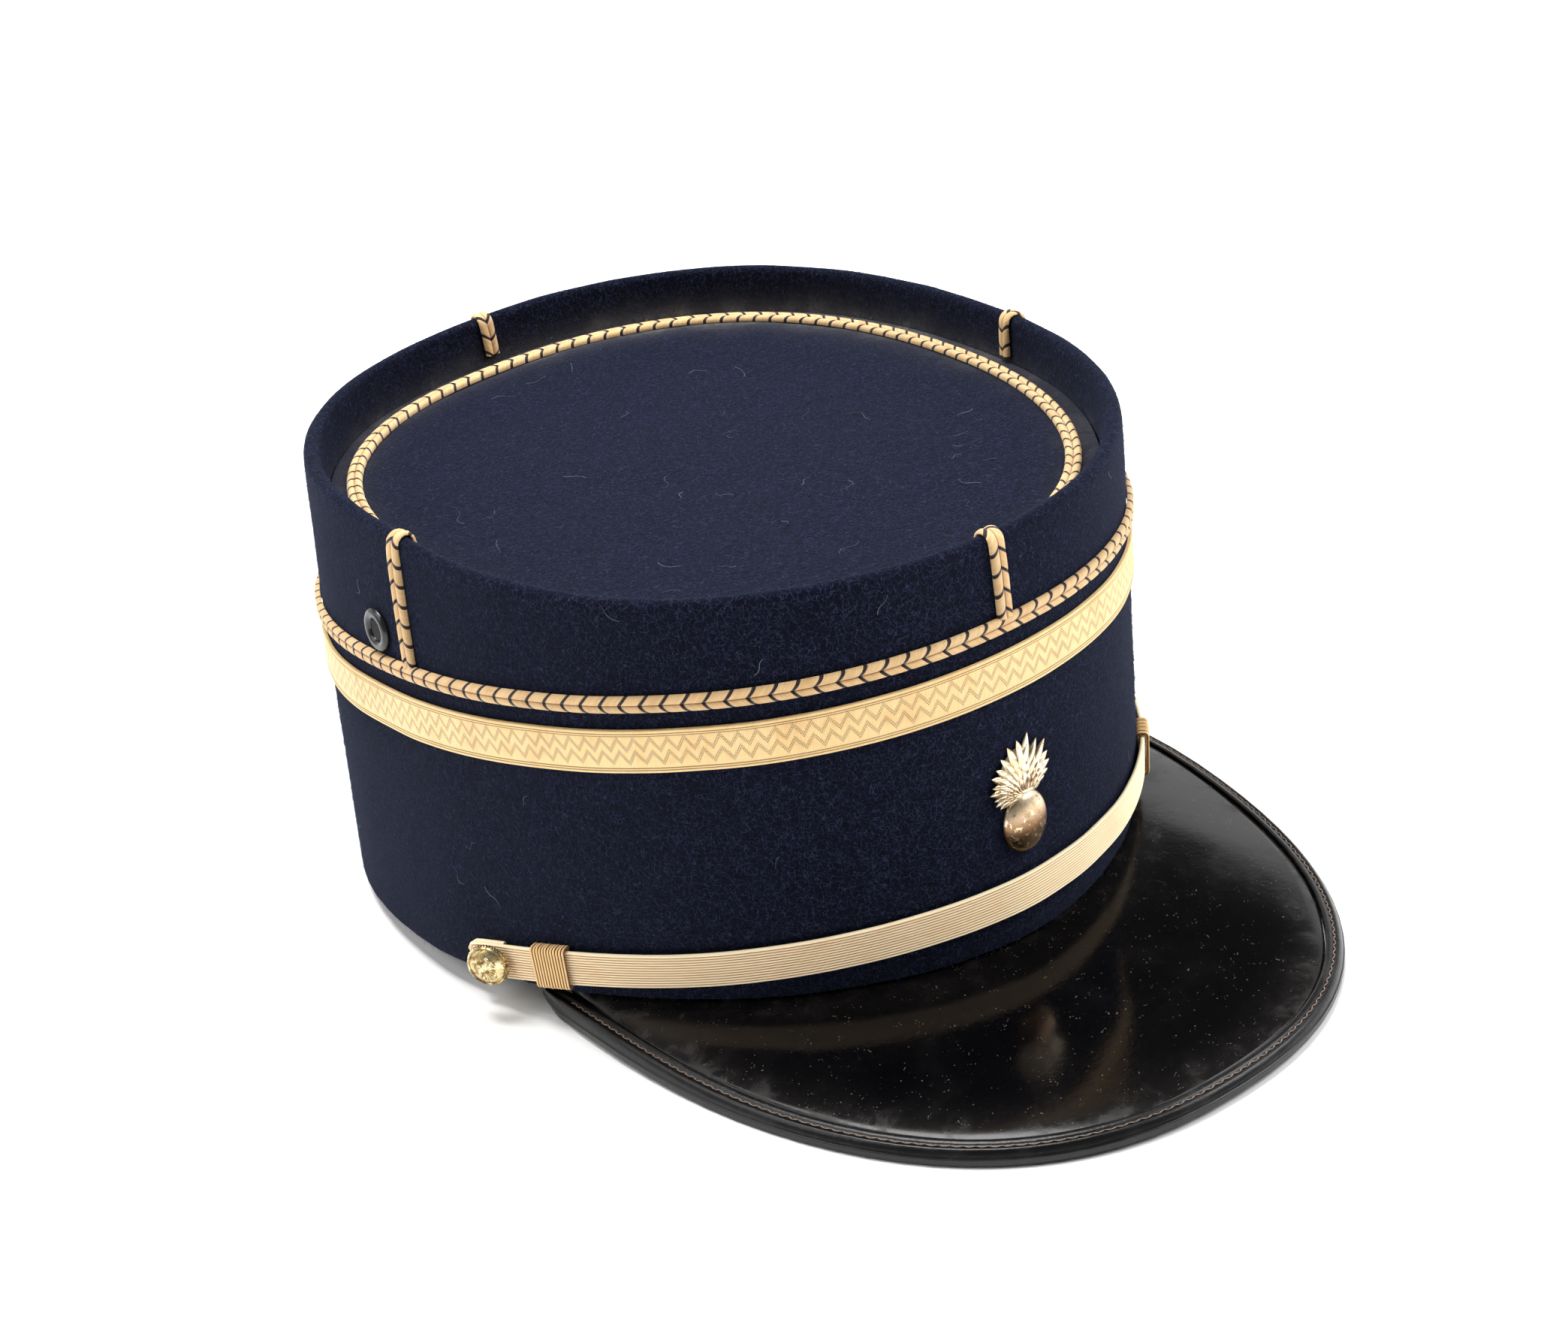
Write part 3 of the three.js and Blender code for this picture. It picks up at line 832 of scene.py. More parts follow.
def makeUprightBraid(name, node):
    # up the wall, over the folded rim and down inside it
    angle = round(angleOfNode(node)[0]) + braidShape["turned"].get(node, 0)
    out = outwardAt(angle)
    straightUp = Vector((0, 0, 1))
    heights = [v.co.z for v in feltWall.data.vertices if (v.co.xy.normalized() - out.xy).length < 0.04]
    rimTop = max(heights)
    ring = sliceNode(cutEdges("crown_braid"), angle + offSeam)[1]
    fold, rimStep = braidShape["fold"], braidShape["rimStep"]
    hits = []
    rise = float(ring.max()) - braidShape["overlap"]
    while rise < rimTop - fold - rimStep:
        hits.append(feltPoint(angle, rise))
        rise += braidShape["wallStep"]
    outer = feltPoint(angle, rimTop - fold)[0]
    middle = outer - out * fold
    crown = len(hits) + 5
    for turn in range(0, 181, 20):
        away = out * cos(radians(turn)) + straightUp * sin(radians(turn))
        hit, normal, _, _ = feltTree.ray_cast(middle + away * 0.008, -away)
        hits.append((hit, normal))
    drop = rimTop - fold - rimStep
    while drop > topLevel(middle.y) + braidShape["insideGap"]:
        hit, normal, _, _ = feltTree.ray_cast(Vector((0, 0, drop)), out)
        hits.append((hit, normal))
        drop -= rimStep
    flat = [hit + normal * braidShape["clearance"] for hit, normal in hits]
    path = [Vector((-spot.dot(out), spot.z, 0)) for spot in flat]
    place = Matrix((-out, straightUp, (-out).cross(straightUp))).transposed().to_4x4()
    length = lengthOf(path, False)
    crownAt = lengthOf(path[:crown], False)

    def pressedOverRim(along, across, lift):
        across, lift = tracerRelief(along, across, lift)
        pressed = exp(-((along - crownAt) / braidShape["pressReach"]) ** 2)
        return across * (1 + 0.08 * pressed), lift * (1 - braidShape["pressed"] * pressed)

    strip = straightStrip(name, braidSection(), length, braidShape["step"], pressedOverRim)
    capEnds(bentAlong(strip, path, None, False, standing @ place))
    tidySurface(strip, 0.02 * mm)
    return finishPiece(strip, goldBraid, "braid", node)


makeClosedBraid("crown_braid", *wallRing("crown_braid", braidShape["clearance"]))
makeClosedBraid("top_braid", *topBraidRing())
for side in ("front", "left", "back", "right"):
    makeUprightBraid(side + "_braid_cord", side + "_braid")
print("braids laid")

laceShape = {"width": 9.6 * mm, "thickness": 0.85 * mm, "clearance": 0.2 * mm, "step": 0.6 * mm,
             "zigzagPitch": 3.55, "zigzagTop": 3.0, "zigzagGap": 2.9, "zigzagDepth": 2.5,
             "lineAt": (4.1, 3.62)}


def laceSection():
    half, thick = laceShape["width"] / 2, laceShape["thickness"]
    # share of the half width and of the thickness, from the edge in: selvedge, two fine lines, field
    rows = [(0.985, 0.0), (1.0, 0.45), (0.985, 0.85), (0.95, 1.0), (0.89, 1.0), (0.855, 0.86), (0.82, 0.98),
            (0.785, 0.98), (0.75, 0.84), (0.71, 0.92), (0.4, 0.96), (0.0, 0.97)]
    left = [(-share * half, up * thick) for share, up in rows]
    right = [(share * half, up * thick) for share, up in reversed(rows[:-1])]
    return left + right + [(half * 0.5, 0), (-half * 0.5, 0), left[0]]


def laceLook():
    material, tree, place = newMaterial(
        "wovenLace", Roughness=0.6, Sheen_Weight=0.25, Sheen_Roughness=0.4,
        Specular_IOR_Level=0.35)
    along, across = layOf(tree)
    shift = calc(tree, "MULTIPLY_ADD", noiseOf(tree, place, 90.0, 2.0), 0.8, -0.4)
    run = plus(tree, along, shift)
    wave = calc(tree, "PINGPONG", calc(tree, "DIVIDE", run, laceShape["zigzagPitch"]), 0.5)
    wave = times(tree, wave, laceShape["zigzagDepth"] * 2)
    band = None
    for row in range(2):
        top = laceShape["zigzagTop"] - row * laceShape["zigzagGap"] - laceShape["zigzagDepth"]
        away = calc(tree, "ABSOLUTE", minus(tree, across, plus(tree, wave, top)))
        line = ramp(tree, away, 0.75, 0.5)
        band = line if band is None else calc(tree, "MAXIMUM", band, line)
    # small dark gaps between the threads of the zigzag, staggered row by row
    rowStep = calc(tree, "DIVIDE", across, 0.34)
    stagger = times(tree, calc(tree, "MODULO", calc(tree, "FLOOR", rowStep), 2.0), 0.5)
    alongStep = plus(tree, calc(tree, "DIVIDE", run, 0.42), stagger)
    dotU = minus(tree, calc(tree, "FRACT", alongStep), 0.5)
    dotV = minus(tree, calc(tree, "FRACT", rowStep), 0.5)
    spread = plus(tree, times(tree, dotU, dotU), times(tree, dotV, dotV))
    spread = calc(tree, "SQRT", spread)
    dots = times(tree, ramp(tree, spread, 0.4, 0.26), band)
    # the two fine dotted lines inside each edge
    edge = calc(tree, "ABSOLUTE", across)
    outer, inner = (ramp(tree, calc(tree, "ABSOLUTE", minus(tree, edge, at)), 0.15, 0.06)
                    for at in laceShape["lineAt"])
    lines = calc(tree, "MAXIMUM", outer, inner)
    beads = ramp(tree, calc(tree, "PINGPONG", calc(tree, "DIVIDE", along, 0.36), 0.5), 0.05, 0.3, 0.35, 1.0)
    lines = times(tree, lines, beads)
    upright = twistOf(tree, along, across, 0.12, 0.21)
    patches = ramp(tree, noiseOf(tree, place, 130.0, 4.0, 0.6), 0.5, 0.78, 0.0, 0.45)
    # painted highlight and shade: the upright threads' crests are coloured lighter than the gaps between them
    gold = layered(tree, color(240, 192, 122),
                   (upright["Height"], 1, (255, 222, 158)),
                   (upright["Shade"], 0.3, (255, 234, 192)),
                   (patches, 1, (222, 166, 98)),
                   (dots, 0.85, (122, 76, 36)),
                   (lines, 0.85, (130, 84, 44)))
    height = times(tree, upright["Height"], 0.4)
    height = minus(tree, height, plus(tree, dots, lines))
    height = plus(tree, height, times(tree, band, 0.5))
    return finishLook(material, gold, height, 0.1 * mm, 0.9)


wovenLace = laceLook()


def makeLace():
    points, tilts = wallRing("rank_lace", laceShape["clearance"])
    strip = straightStrip("rank_lace_band", laceSection(), lengthOf(points, True), laceShape["step"])
    bentAlong(strip, points, tilts, True)
    tidySurface(strip, 0.02 * mm)
    return finishPiece(strip, wovenLace, "lace", "rank_lace")


makeLace()
print("lace sewn on")

strapShape = {"width": 8.1 * mm, "thickness": 1.0 * mm, "ribs": 13, "ribDepth": 0.4 * mm,
              "standOff": 1.45 * mm, "innerStandOff": 0.45 * mm, "step": 1.0 * mm, "foldRise": 0.1 * mm,
              "foldedRows": 13}


def strapSection():
    half, thick = strapShape["width"] / 2, strapShape["thickness"] / 2
    pitch = strapShape["width"] / strapShape["ribs"]
    front = []
    for rib in range(strapShape["ribs"]):
        start = -half + rib * pitch
        for share, up in ((0.0, 0.0), (0.18, 0.72), (0.5, 1.0), (0.82, 0.72)):
            front.append((start + share * pitch, thick - strapShape["ribDepth"] * (1 - up)))
    front.append((half, thick - strapShape["ribDepth"]))
    back = [(across, -lift) for across, lift in reversed(front)]
    return front + back + [front[0]]


def strapLook():
    material, tree, place = newMaterial(
        "strapCords", Roughness=0.62, Sheen_Weight=0.3, Sheen_Roughness=0.4,
        Specular_IOR_Level=0.3)
    along, across = layOf(tree)
    half = strapShape["width"] / 2 / mm
    pitch = 2 * half / strapShape["ribs"]
    rib = calc(tree, "PINGPONG", calc(tree, "DIVIDE", plus(tree, across, half), pitch), 0.5)
    # painted highlight and shade: the rib crests and the strap's two edges are coloured pale, the grooves
    # between ribs dark brown
    crestHighlight = ramp(tree, rib, 0.05, 0.22)
    side = ramp(tree, calc(tree, "ABSOLUTE", across), half - 0.2, half - 0.1)
    crestHighlight = calc(tree, "MAXIMUM", crestHighlight, side)
    twist = twistOf(tree, along, across, 1.3, 0.33)
    cord = calc(tree, "FLOOR", calc(tree, "DIVIDE", plus(tree, across, 20.0), pitch))
    each = addNode(tree, "TexWhiteNoise", {"W": cord}, noise_dimensions="1D").outputs[0]
    patches = ramp(tree, noiseOf(tree, place, 110.0, 4.0, 0.6), 0.5, 0.8, 0.0, 0.3)
    gold = layered(tree, color(160, 84, 40),
                   (crestHighlight, 1, (255, 236, 196)),
                   (twist["Height"], 0.06, (255, 242, 210)),
                   (each, 0.16, (224, 176, 116)),
                   (patches, 1, (234, 182, 120)))
    return finishLook(material, gold, twist["Height"], 0.02 * mm, 0.4)


strapCords = strapLook()


def strapLine():
    # the strap's middle line, from its CAD piece's heights, from the wearer's left to the right
    edges = cutEdges("chin_strap")
    line = []
    for step in range(-170, 171):
        angle = -step * 0.5
        heights = sliceNode(edges, angle + offSeam)[1]
        if len(heights) >= 4:
            line.append((angle, float(heights.min() + heights.max()) / 2))
    return line


def strapPoint(angle, height, out):
    return feltPoint(angle, height)[0] + outwardAt(angle) * out


def makeStrap():
    line = strapLine()
    outer = strapShape["standOff"]
    inner = strapShape["innerStandOff"]
    folded = strapShape["foldedRows"]

    def foldedEnd(rows, sideways):
        # the end turns back behind the strap, round the button's shank; rows run inwards from it
        endAngle, endHeight = rows[0]
        radius = (outer - inner) / 2
        degreesPerMetre = degrees(1 / feltPoint(endAngle, endHeight)[0].xy.length)
        route = [(angle, height + strapShape["foldRise"], inner) for angle, height in reversed(rows[1:])]
        for turn in (-60, -30, 0, 30, 60):
            swing = radians(turn)
            route.append((endAngle + sideways * radius * cos(swing) * degreesPerMetre,
                          endHeight + strapShape["foldRise"] * (0.5 - turn / 150),
                          (outer + inner) / 2 + radius * sin(swing)))
        return route

    route = foldedEnd(line[:folded], 1)
    route += [(angle, height, outer) for angle, height in line[::2]]
    route += reversed(foldedEnd(line[::-1][:folded], -1))
    points = [strapPoint(*row) for row in route]
    tilts = [-wallLean(angle, height, 3 * mm) for angle, height, _ in route]
    strip = straightStrip("chin_strap_band", strapSection(), lengthOf(points, False), strapShape["step"])
    capEnds(bentAlong(strip, points, tilts, False))
    tidySurface(strip, 0.005 * mm, 55)
    return finishPiece(strip, strapCords, "strap", "chin_strap")


makeStrap()
print("chin strap laid")

slideShape = {"cords": 12, "pitch": 0.72 * mm, "cord": 0.34 * mm, "halfHeight": 4.75 * mm,
              "halfDepth": 1.15 * mm, "corner": 0.75 * mm, "slant": -0.09}


def slideLook():
    material, tree, place = newMaterial(
        "wrappedCord", Roughness=0.6, Sheen_Weight=0.3, Sheen_Roughness=0.4,
        Specular_IOR_Level=0.3)
    along, across = layOf(tree)
    twist = twistOf(tree, along, across, 0.6, 0.36)
    patches = ramp(tree, noiseOf(tree, place, 260.0, 4.0, 0.6), 0.45, 0.75, 0.0, 0.4)
    # painted shade: dark where a cord touches the one beside it
    touchShade = ramp(tree, markOf(tree, "touchShade"), 0.5, 0.85, 0.0, 0.95)
    # painted highlight: the twist's thread crests are coloured lighter
    gold = layered(tree, color(238, 188, 122),
                   (twist["Height"], 0.4, (255, 222, 164)),
                   (patches, 1, (212, 158, 100)),
                   (touchShade, 1, (78, 46, 28)))
    return finishLook(material, gold, twist["Height"], 0.02 * mm, 0.4)


wrappedCord = slideLook()


def cordTube(name, points, radius, closed, sides=2):
    # a round cord along a line, with millimetres along it and round it as its lay
    cord = curveThrough(name, points, closed)
    cord.data.bevel_depth = radius
    cord.data.bevel_resolution = sides
    cord.data.use_fill_caps = not closed
    pick(cord)
    bpy.ops.object.convert(target="MESH")
    cord = bpy.context.object
    lay = layLayer(cord)
    length = lengthOf([Vector(p) for p in points], closed) / mm
    for loop in lay.data:
        loop.uv = (loop.uv[0] * length, loop.uv[1] * 2 * pi * radius / mm)
    return cord


def loopOfCord():
    # once round the strap, as a rectangle with rounded corners
    high, deep, corner = slideShape["halfHeight"], slideShape["halfDepth"], slideShape["corner"]
    points = []
    for quarter, (y, z) in enumerate(((1, 1), (-1, 1), (-1, -1), (1, -1))):
        for turn in (0, 22.5, 45, 67.5, 90):
            swing = radians(turn + 90 * quarter)
            points.append(Vector((0, y * (deep - corner) + corner * cos(swing),
                                  z * (high - corner) + corner * sin(swing))))
    cord = cordTube("wrapCord", points, slideShape["cord"], True)
    # painted shade mark, strongest on each cord's sides where it meets the next cord
    touchShade = markOn(cord, "touchShade")
    for vertex, share in zip(cord.data.vertices, touchShade):
        share.value = abs(vertex.co.x) / slideShape["cord"]
    return cord


def copyOf(piece, move):
    twin = piece.copy()
    twin.data = piece.data.copy()
    bpy.context.scene.collection.objects.link(twin)
    twin.data.transform(move)
    return twin


def makeSlide(name, node):
    angle = angleOfNode(node)[0]
    line = [row for row in strapLine() if abs(row[0] - angle) < 8]
    points = [strapPoint(a, h, strapShape["standOff"]) for a, h in line]
    tilts = [-wallLean(a, h, 3 * mm) for a, h in line]
    centre = lengthOf(points, False) / 2
    first = loopOfCord()
    cords = []
    for step in range(slideShape["cords"]):
        along = centre + (step - (slideShape["cords"] - 1) / 2) * slideShape["pitch"]
        uneven = 1 + 0.012 * sin(step * 2.3)
        cords.append(copyOf(first, Matrix.Translation((along, 0, 0)) @ Matrix.Scale(uneven, 4, (0, 0, 1))))
    bpy.data.objects.remove(first)
    slide = joined(cords, name)
    for vertex in slide.data.vertices:
        vertex.co.x += vertex.co.z * slideShape["slant"]
    bentAlong(slide, points, tilts, False)
    tidySurface(slide, 0.001 * mm, 60)
    return finishPiece(slide, wrappedCord, "strap", node)


makeSlide("strap_slide_right_cords", "strap_slide_right")
makeSlide("strap_slide_left_cords", "strap_slide_left")
print("slides wrapped")


def metalLook(name, bright, worn, deep, reach, scale, roughness, brownerBelow=None, shadeShare=0.0):
    material, tree, place = newMaterial(name, Metallic=1.0)
    film = useGroup(tree, tarnish, {"Place": place, "Scale": scale, "Reach": reach})
    tone = noiseOf(tree, place, scale * 0.6, 3.0)
    metal = blendColors(tree, ramp(tree, tone, 0.35, 0.7), bright, worn)
    if brownerBelow:
        # the lower part is coloured browner, but for a few brighter patches
        rise = addNode(tree, "SeparateXYZ", {0: place}).outputs[2]
        browner = ramp(tree, rise, brownerBelow[1], brownerBelow[0])
        spared = ramp(tree, noiseOf(tree, place, scale * 1.4, 4.0, 0.65), 0.56, 0.62)
        browner = times(tree, browner, minus(tree, 1.0, spared))
        metal = blendColors(tree, browner, metal, color(150, 116, 84))
    metal = blendColors(tree, times(tree, film["Mask"], 0.85), metal, deep)
    if shadeShare:
        # painted shade: dark brown on the flames' sides that face the plate, and on the plate behind them
        low = markOf(tree, "shadeMark")
        metal = blendColors(tree, times(tree, low, shadeShare), metal, color(58, 42, 30))
    rough = calc(tree, "MULTIPLY_ADD", film["Grit"], 0.14, roughness)
    rough = calc(tree, "MULTIPLY_ADD", film["Mask"], 0.25, rough)
    return finishLook(material, metal, plus(tree, film["Grit"], tone), 0.05 * mm, 0.5, rough)


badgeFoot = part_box("badge")[0].z
buttonGilt = metalLook("buttonGilt", color(238, 222, 176), color(214, 190, 134), color(112, 84, 44),
                       reach=0.42, scale=700.0, roughness=0.2)
badgeMetal = metalLook("badgeMetal", color(240, 224, 196), color(218, 190, 148), color(120, 88, 60),
                       reach=0.32, scale=420.0, roughness=0.22, shadeShare=0.9,
                       brownerBelow=(badgeFoot + 7 * mm, badgeFoot + 13 * mm))


def spunProfile(name, rows, steps):
    # rows of (radius, height) spun round Z
    mesh = bpy.data.meshes.new(name)
    edges = [(i, i + 1) for i in range(len(rows) - 1)]
    mesh.from_pydata([(radius, 0, height) for radius, height in rows], edges, [])
    piece = placed(name, mesh)
    with editing(piece):
        bpy.ops.mesh.spin(steps=steps, angle=2 * pi, center=(0, 0, 0), axis=(0, 0, 1))
    return tidySurface(piece, 0.01 * mm, 35)


buttonShape = {"radius": 4.7 * mm, "height": 3.8 * mm, "beads": 44, "rays": 9, "turn": 18, "lift": 1.3 * mm,
               "relief": 0.8}


# share of the radius, share of the height: flat back, rolled rim and the groove inside it
buttonRim = [(0, 0.01316), (0.62, 0.01316), (0.9, 0.18), (0.985, 0.34), (1, 0.46), (0.985, 0.56),
             (0.95, 0.62), (0.91, 0.6), (0.875, 0.55)]


def ballAt(place, size, segments=16, rings=10):
    deselectAll()
    bpy.ops.mesh.primitive_uv_sphere_add(segments=segments, ring_count=rings, radius=1)
    ball = bpy.context.object
    ball.data.transform(place @ Matrix.Diagonal((*size, 1)))
    return ball


def domeLevel(reach):
    # height of the button's face at this distance from its middle
    share = min(reach / (buttonShape["radius"] * 0.86), 1)
    return buttonShape["height"] * (0.56 + 0.4 * cos(share * pi / 2) ** 0.8)


def makeButton(name, node, spinBy):
    radius, height = buttonShape["radius"], buttonShape["height"]
    rows = [(radius * across, height * up) for across, up in buttonRim]
    for share in (0.85, 0.8, 0.72, 0.6, 0.45, 0.3, 0.15, 0):
        rows.append((radius * share, domeLevel(radius * share)))
    parts = [spunProfile(name, rows, 56)]
    bead = ballAt(Matrix.Identity(4), (0.22 * mm, 0.3 * mm, 0.5 * mm), 8, 6)
    for step in range(buttonShape["beads"]):
        turn = Matrix.Rotation(2 * pi * step / buttonShape["beads"], 4, "Z")
        parts.append(copyOf(bead, turn @ Matrix.Translation((radius * 0.985, 0, height * 0.38))))
    bpy.data.objects.remove(bead)

    # plain relief: a small boss over a fan of rays, with two leaves beside it
    def raised(x, y, turn, long, wide, tall):
        share = buttonShape["relief"] * mm
        level = domeLevel(hypot(x, y) * share)
        place = Matrix.Translation((x * share, y * share, level)) @ turned(turn, "Z")
        parts.append(ballAt(place, (wide * share, long * share, tall * share), 12, 8))

    raised(-0.1, 1.7, 0, 1.25, 1.25, 0.55)
    for step in range(buttonShape["rays"]):
        turn = 180 + (step - (buttonShape["rays"] - 1) / 2) * 17
        swing = radians(turn + 90)
        raised(2.1 * cos(swing), 0.3 + 2.2 * sin(swing), turn, 1.35, 0.2, 0.3)
    for sideways in (-1, 1):
        raised(sideways * 2.5, 1.6, sideways * 38, 1.4, 0.5, 0.3)
        raised(sideways * 3.1, 0.2, sideways * 10, 1.1, 0.4, 0.28)
    button = joined(parts, name)
    angle, level = angleOfNode(node)
    out = strapShape["standOff"] + strapShape["thickness"] / 2 + buttonShape["lift"]
    place = wallFrame(angle, level, out)
    facing = turned(-copysign(buttonShape["turn"], angle), "Y")
    button.data.transform(standing @ place @ facing @ turned(spinBy, "Z"))
    tidySurface(button, 0.001 * mm, 35)
    return finishPiece(button, buttonGilt, "gilt", node)


makeButton("strap_button_right_domed", "strap_button_right", 28)
makeButton("strap_button_left_domed", "strap_button_left", -15)
print("buttons pressed")

badgeShape = {"ballRadius": 5.6 * mm, "ballHeight": 7.0 * mm, "ballDepth": 2.9 * mm, "lean": -4,
              "centreUp": 7.2 * mm, "sway": 0.34 * mm}
# how far the flames reach, in millimetres, by angle from straight up, wearer's left positive
plumeOutline = [(-112, 5.8), (-92, 6.9), (-74, 8.0), (-51, 9.2), (-27, 10.8), (-8, 12.7), (9, 12.5),
                (22, 11.8), (34, 10.2), (51, 8.0), (70, 5.2)]
# leaves in each layer, how far they reach, their half width and their height
plumeLayers = [(16, 0.96, 1.15, 0.55, 0.0), (17, 0.82, 0.92, 0.6, 0.3), (16, 0.64, 0.7, 0.6, 0.62),
               (12, 0.44, 0.54, 0.6, 0.9)]


def flameTongue(length, width, height, sway):
    # a pointed leaf with a rounded back, waving as it rises
    tongue = ballAt(Matrix.Identity(4), (1, 1, 1), 12, 20)
    shadeMark = markOn(tongue, "shadeMark")
    for vertex in tongue.data.vertices:
        x, y, z = vertex.co
        # the sphere's own pole axis becomes the length
        share = (z + 1) / 2
        ring = sqrt(max(1e-6, 1 - z * z))
        girth = 0.3 + 0.7 * min(1, share / 0.6) if share < 0.6 else max(0.0, 1 - ((share - 0.6) / 0.4) ** 2.4)
        swing = sway * sin(share * 6.4) * (0.2 + share)
        vertex.co = (x / ring * width * girth + swing, share * length, max(y / ring, -0.4) * height * girth)
        # painted shade mark: full on the side facing the plate, gone towards the leaf's top
        shadeMark[vertex.index].value = min(1.0, max(0.0, 1 - y / ring / 0.5))
    return tongue


def makeBadge():
    across, tall, deep = badgeShape["ballRadius"], badgeShape["ballHeight"], badgeShape["ballDepth"]
    ball = ballAt(Matrix.Identity(4), (across, tall, deep), 40, 24)
    with editing(ball):
        bpy.ops.mesh.bisect(plane_co=(0, 0, 0.05 * mm), plane_no=(0, 0, 1), use_fill=True, clear_inner=True)
    collarUp = tall + 0.1 * mm
    root = collarUp - 0.2 * mm  # where the flames start

    def lump(spot, size, segments, rings):
        return ballAt(Matrix.Translation(spot), Vector(size) * mm, segments, rings)

    collar = lump((0, collarUp, 0.75 * mm), (2.5, 0.55, 0.95), 20, 12)
    lip = lump((0, collarUp - 0.7 * mm, 0.6 * mm), (2.3, 0.45, 0.85), 20, 12)
    plate = lump((-0.7 * mm, root + 4.6 * mm, 0.3 * mm), (5.4, 5.6, 0.35), 32, 8)
    parts = [ball, collar, lip]
    # the plate behind the flames is painted all in shade
    shadeMark = markOn(plate, "shadeMark")
    for spot in shadeMark:
        spot.value = 1.0
    parts.append(plate)
    angles, reaches = zip(*plumeOutline)
    for layer, (count, share, width, height, up) in enumerate(plumeLayers):
        for step in range(count):
            turn = angles[0] + (angles[-1] - angles[0]) * (step + (0.5 if layer % 2 else 0.0)) / (count - 0.5)
            reach = float(np.interp(turn, angles, reaches)) * share * (1 + 0.05 * sin(step * 2.7 + layer))
            swing = radians(turn)
            slim = 0.62 + 0.38 * reach / (max(reaches) * share)
            sway = copysign(badgeShape["sway"], turn + 2)
            tongue = flameTongue(reach * mm, width * slim * mm, height * mm, sway)
            move = Matrix.Translation((sin(swing) * 1.3 * mm, root, (0.3 + up) * mm))
            tongue.data.transform(move @ Matrix.Rotation(-swing, 4, "Z"))
            parts.append(tongue)
    badge = joined(parts, "badge_plumed_ball")
    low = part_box("badge")[0]
    level = (unstanding @ Vector((0, low.y, low.z))).z + badgeShape["centreUp"]
    place = wallFrame(0, level, 0.25 * mm) @ turned(badgeShape["lean"], "Z")
    badge.data.transform(standing @ place)
    tidySurface(badge, 0.001 * mm, 40)
    return finishPiece(badge, badgeMetal, "gilt", "badge")


makeBadge()
print("badge pinned on")

eyeletShape = {"radius": 4.8 * mm, "hole": 2.4 * mm, "lip": 1.3 * mm, "wires": 11, "wire": 0.12 * mm}


def paintLook():
    material, tree, place = newMaterial("blackPaint", Specular_IOR_Level=0.5)
    film = dustOn(tree, place, 260.0, 1400.0, 0.32, 0.4)
    shade = blendColors(tree, film["Mask"], color(20, 21, 24), color(62, 62, 66))
    rough = ramp(tree, film["Mask"], 0.0, 1.0, 0.24, 0.65)
    return finishLook(material, shade, noiseOf(tree, place, 900.0, 3.0), 0.05 * mm, 0.4, rough)


blackPaint = paintLook()


def makeEyelet(name, node):
    radius, hole, lip = eyeletShape["radius"], eyeletShape["hole"], eyeletShape["lip"]
    # a round rolled lip between the hole and the outer edge
    rows = [(hole, 0.1 * mm)]
    middle, half = (radius + hole) / 2, (radius - hole) / 2
    rows += [(middle - half * cos(radians(turn)), lip * (0.25 + 0.75 * sin(radians(turn))))
             for turn in range(0, 181, 15)]
    rows += [(radius - 0.05 * mm, 0.05 * mm), (hole, 0.1 * mm)]
    parts = [spunProfile(name, rows, 48)]
    # painted shade: a black disc under the mesh stands for the dark inside seen through the hole
    shadeDisc = [(0, 0.02 * mm), (hole + 0.1 * mm, 0.02 * mm), (hole + 0.1 * mm, 0.2 * mm), (0, 0.2 * mm)]
    parts.append(spunProfile(name + "Back", shadeDisc, 32))
    for step in range(eyeletShape["wires"]):
        off = (step - (eyeletShape["wires"] - 1) / 2) * 2 * hole / (eyeletShape["wires"] + 1)
        chord = 2 * sqrt(max(hole * hole - off * off, 0))
        for crossed in (False, True):
            deselectAll()
            bpy.ops.mesh.primitive_cylinder_add(vertices=6, radius=eyeletShape["wire"], depth=chord)
            wire = bpy.context.object
            turn = Matrix.Rotation(radians(90), 4, "X" if crossed else "Y")
            move = Matrix.Translation((off, 0, 0.42 * mm) if crossed else (0, off, 0.32 * mm))
            wire.data.transform(move @ turn)
            parts.append(wire)
    eyelet = joined(parts, name)
    angle, level = angleOfNode(node)
    eyelet.data.transform(standing @ wallFrame(angle, level, 0.1 * mm))
    tidySurface(eyelet, 0.001 * mm, 40)
    return finishPiece(eyelet, blackPaint, "black_paint", node)


makeEyelet("vent_eyelet_right_ring", "vent_eyelet_right")
makeEyelet("vent_eyelet_left_ring", "vent_eyelet_left")
print("eyelets set")

peakShape = {"waveSize": 0.03, "wave": 0.3 * mm, "rimCrease": 0.9, "rootY": -0.0347,
             "edgeDust": 6.5 * mm, "wallDust": 9 * mm}


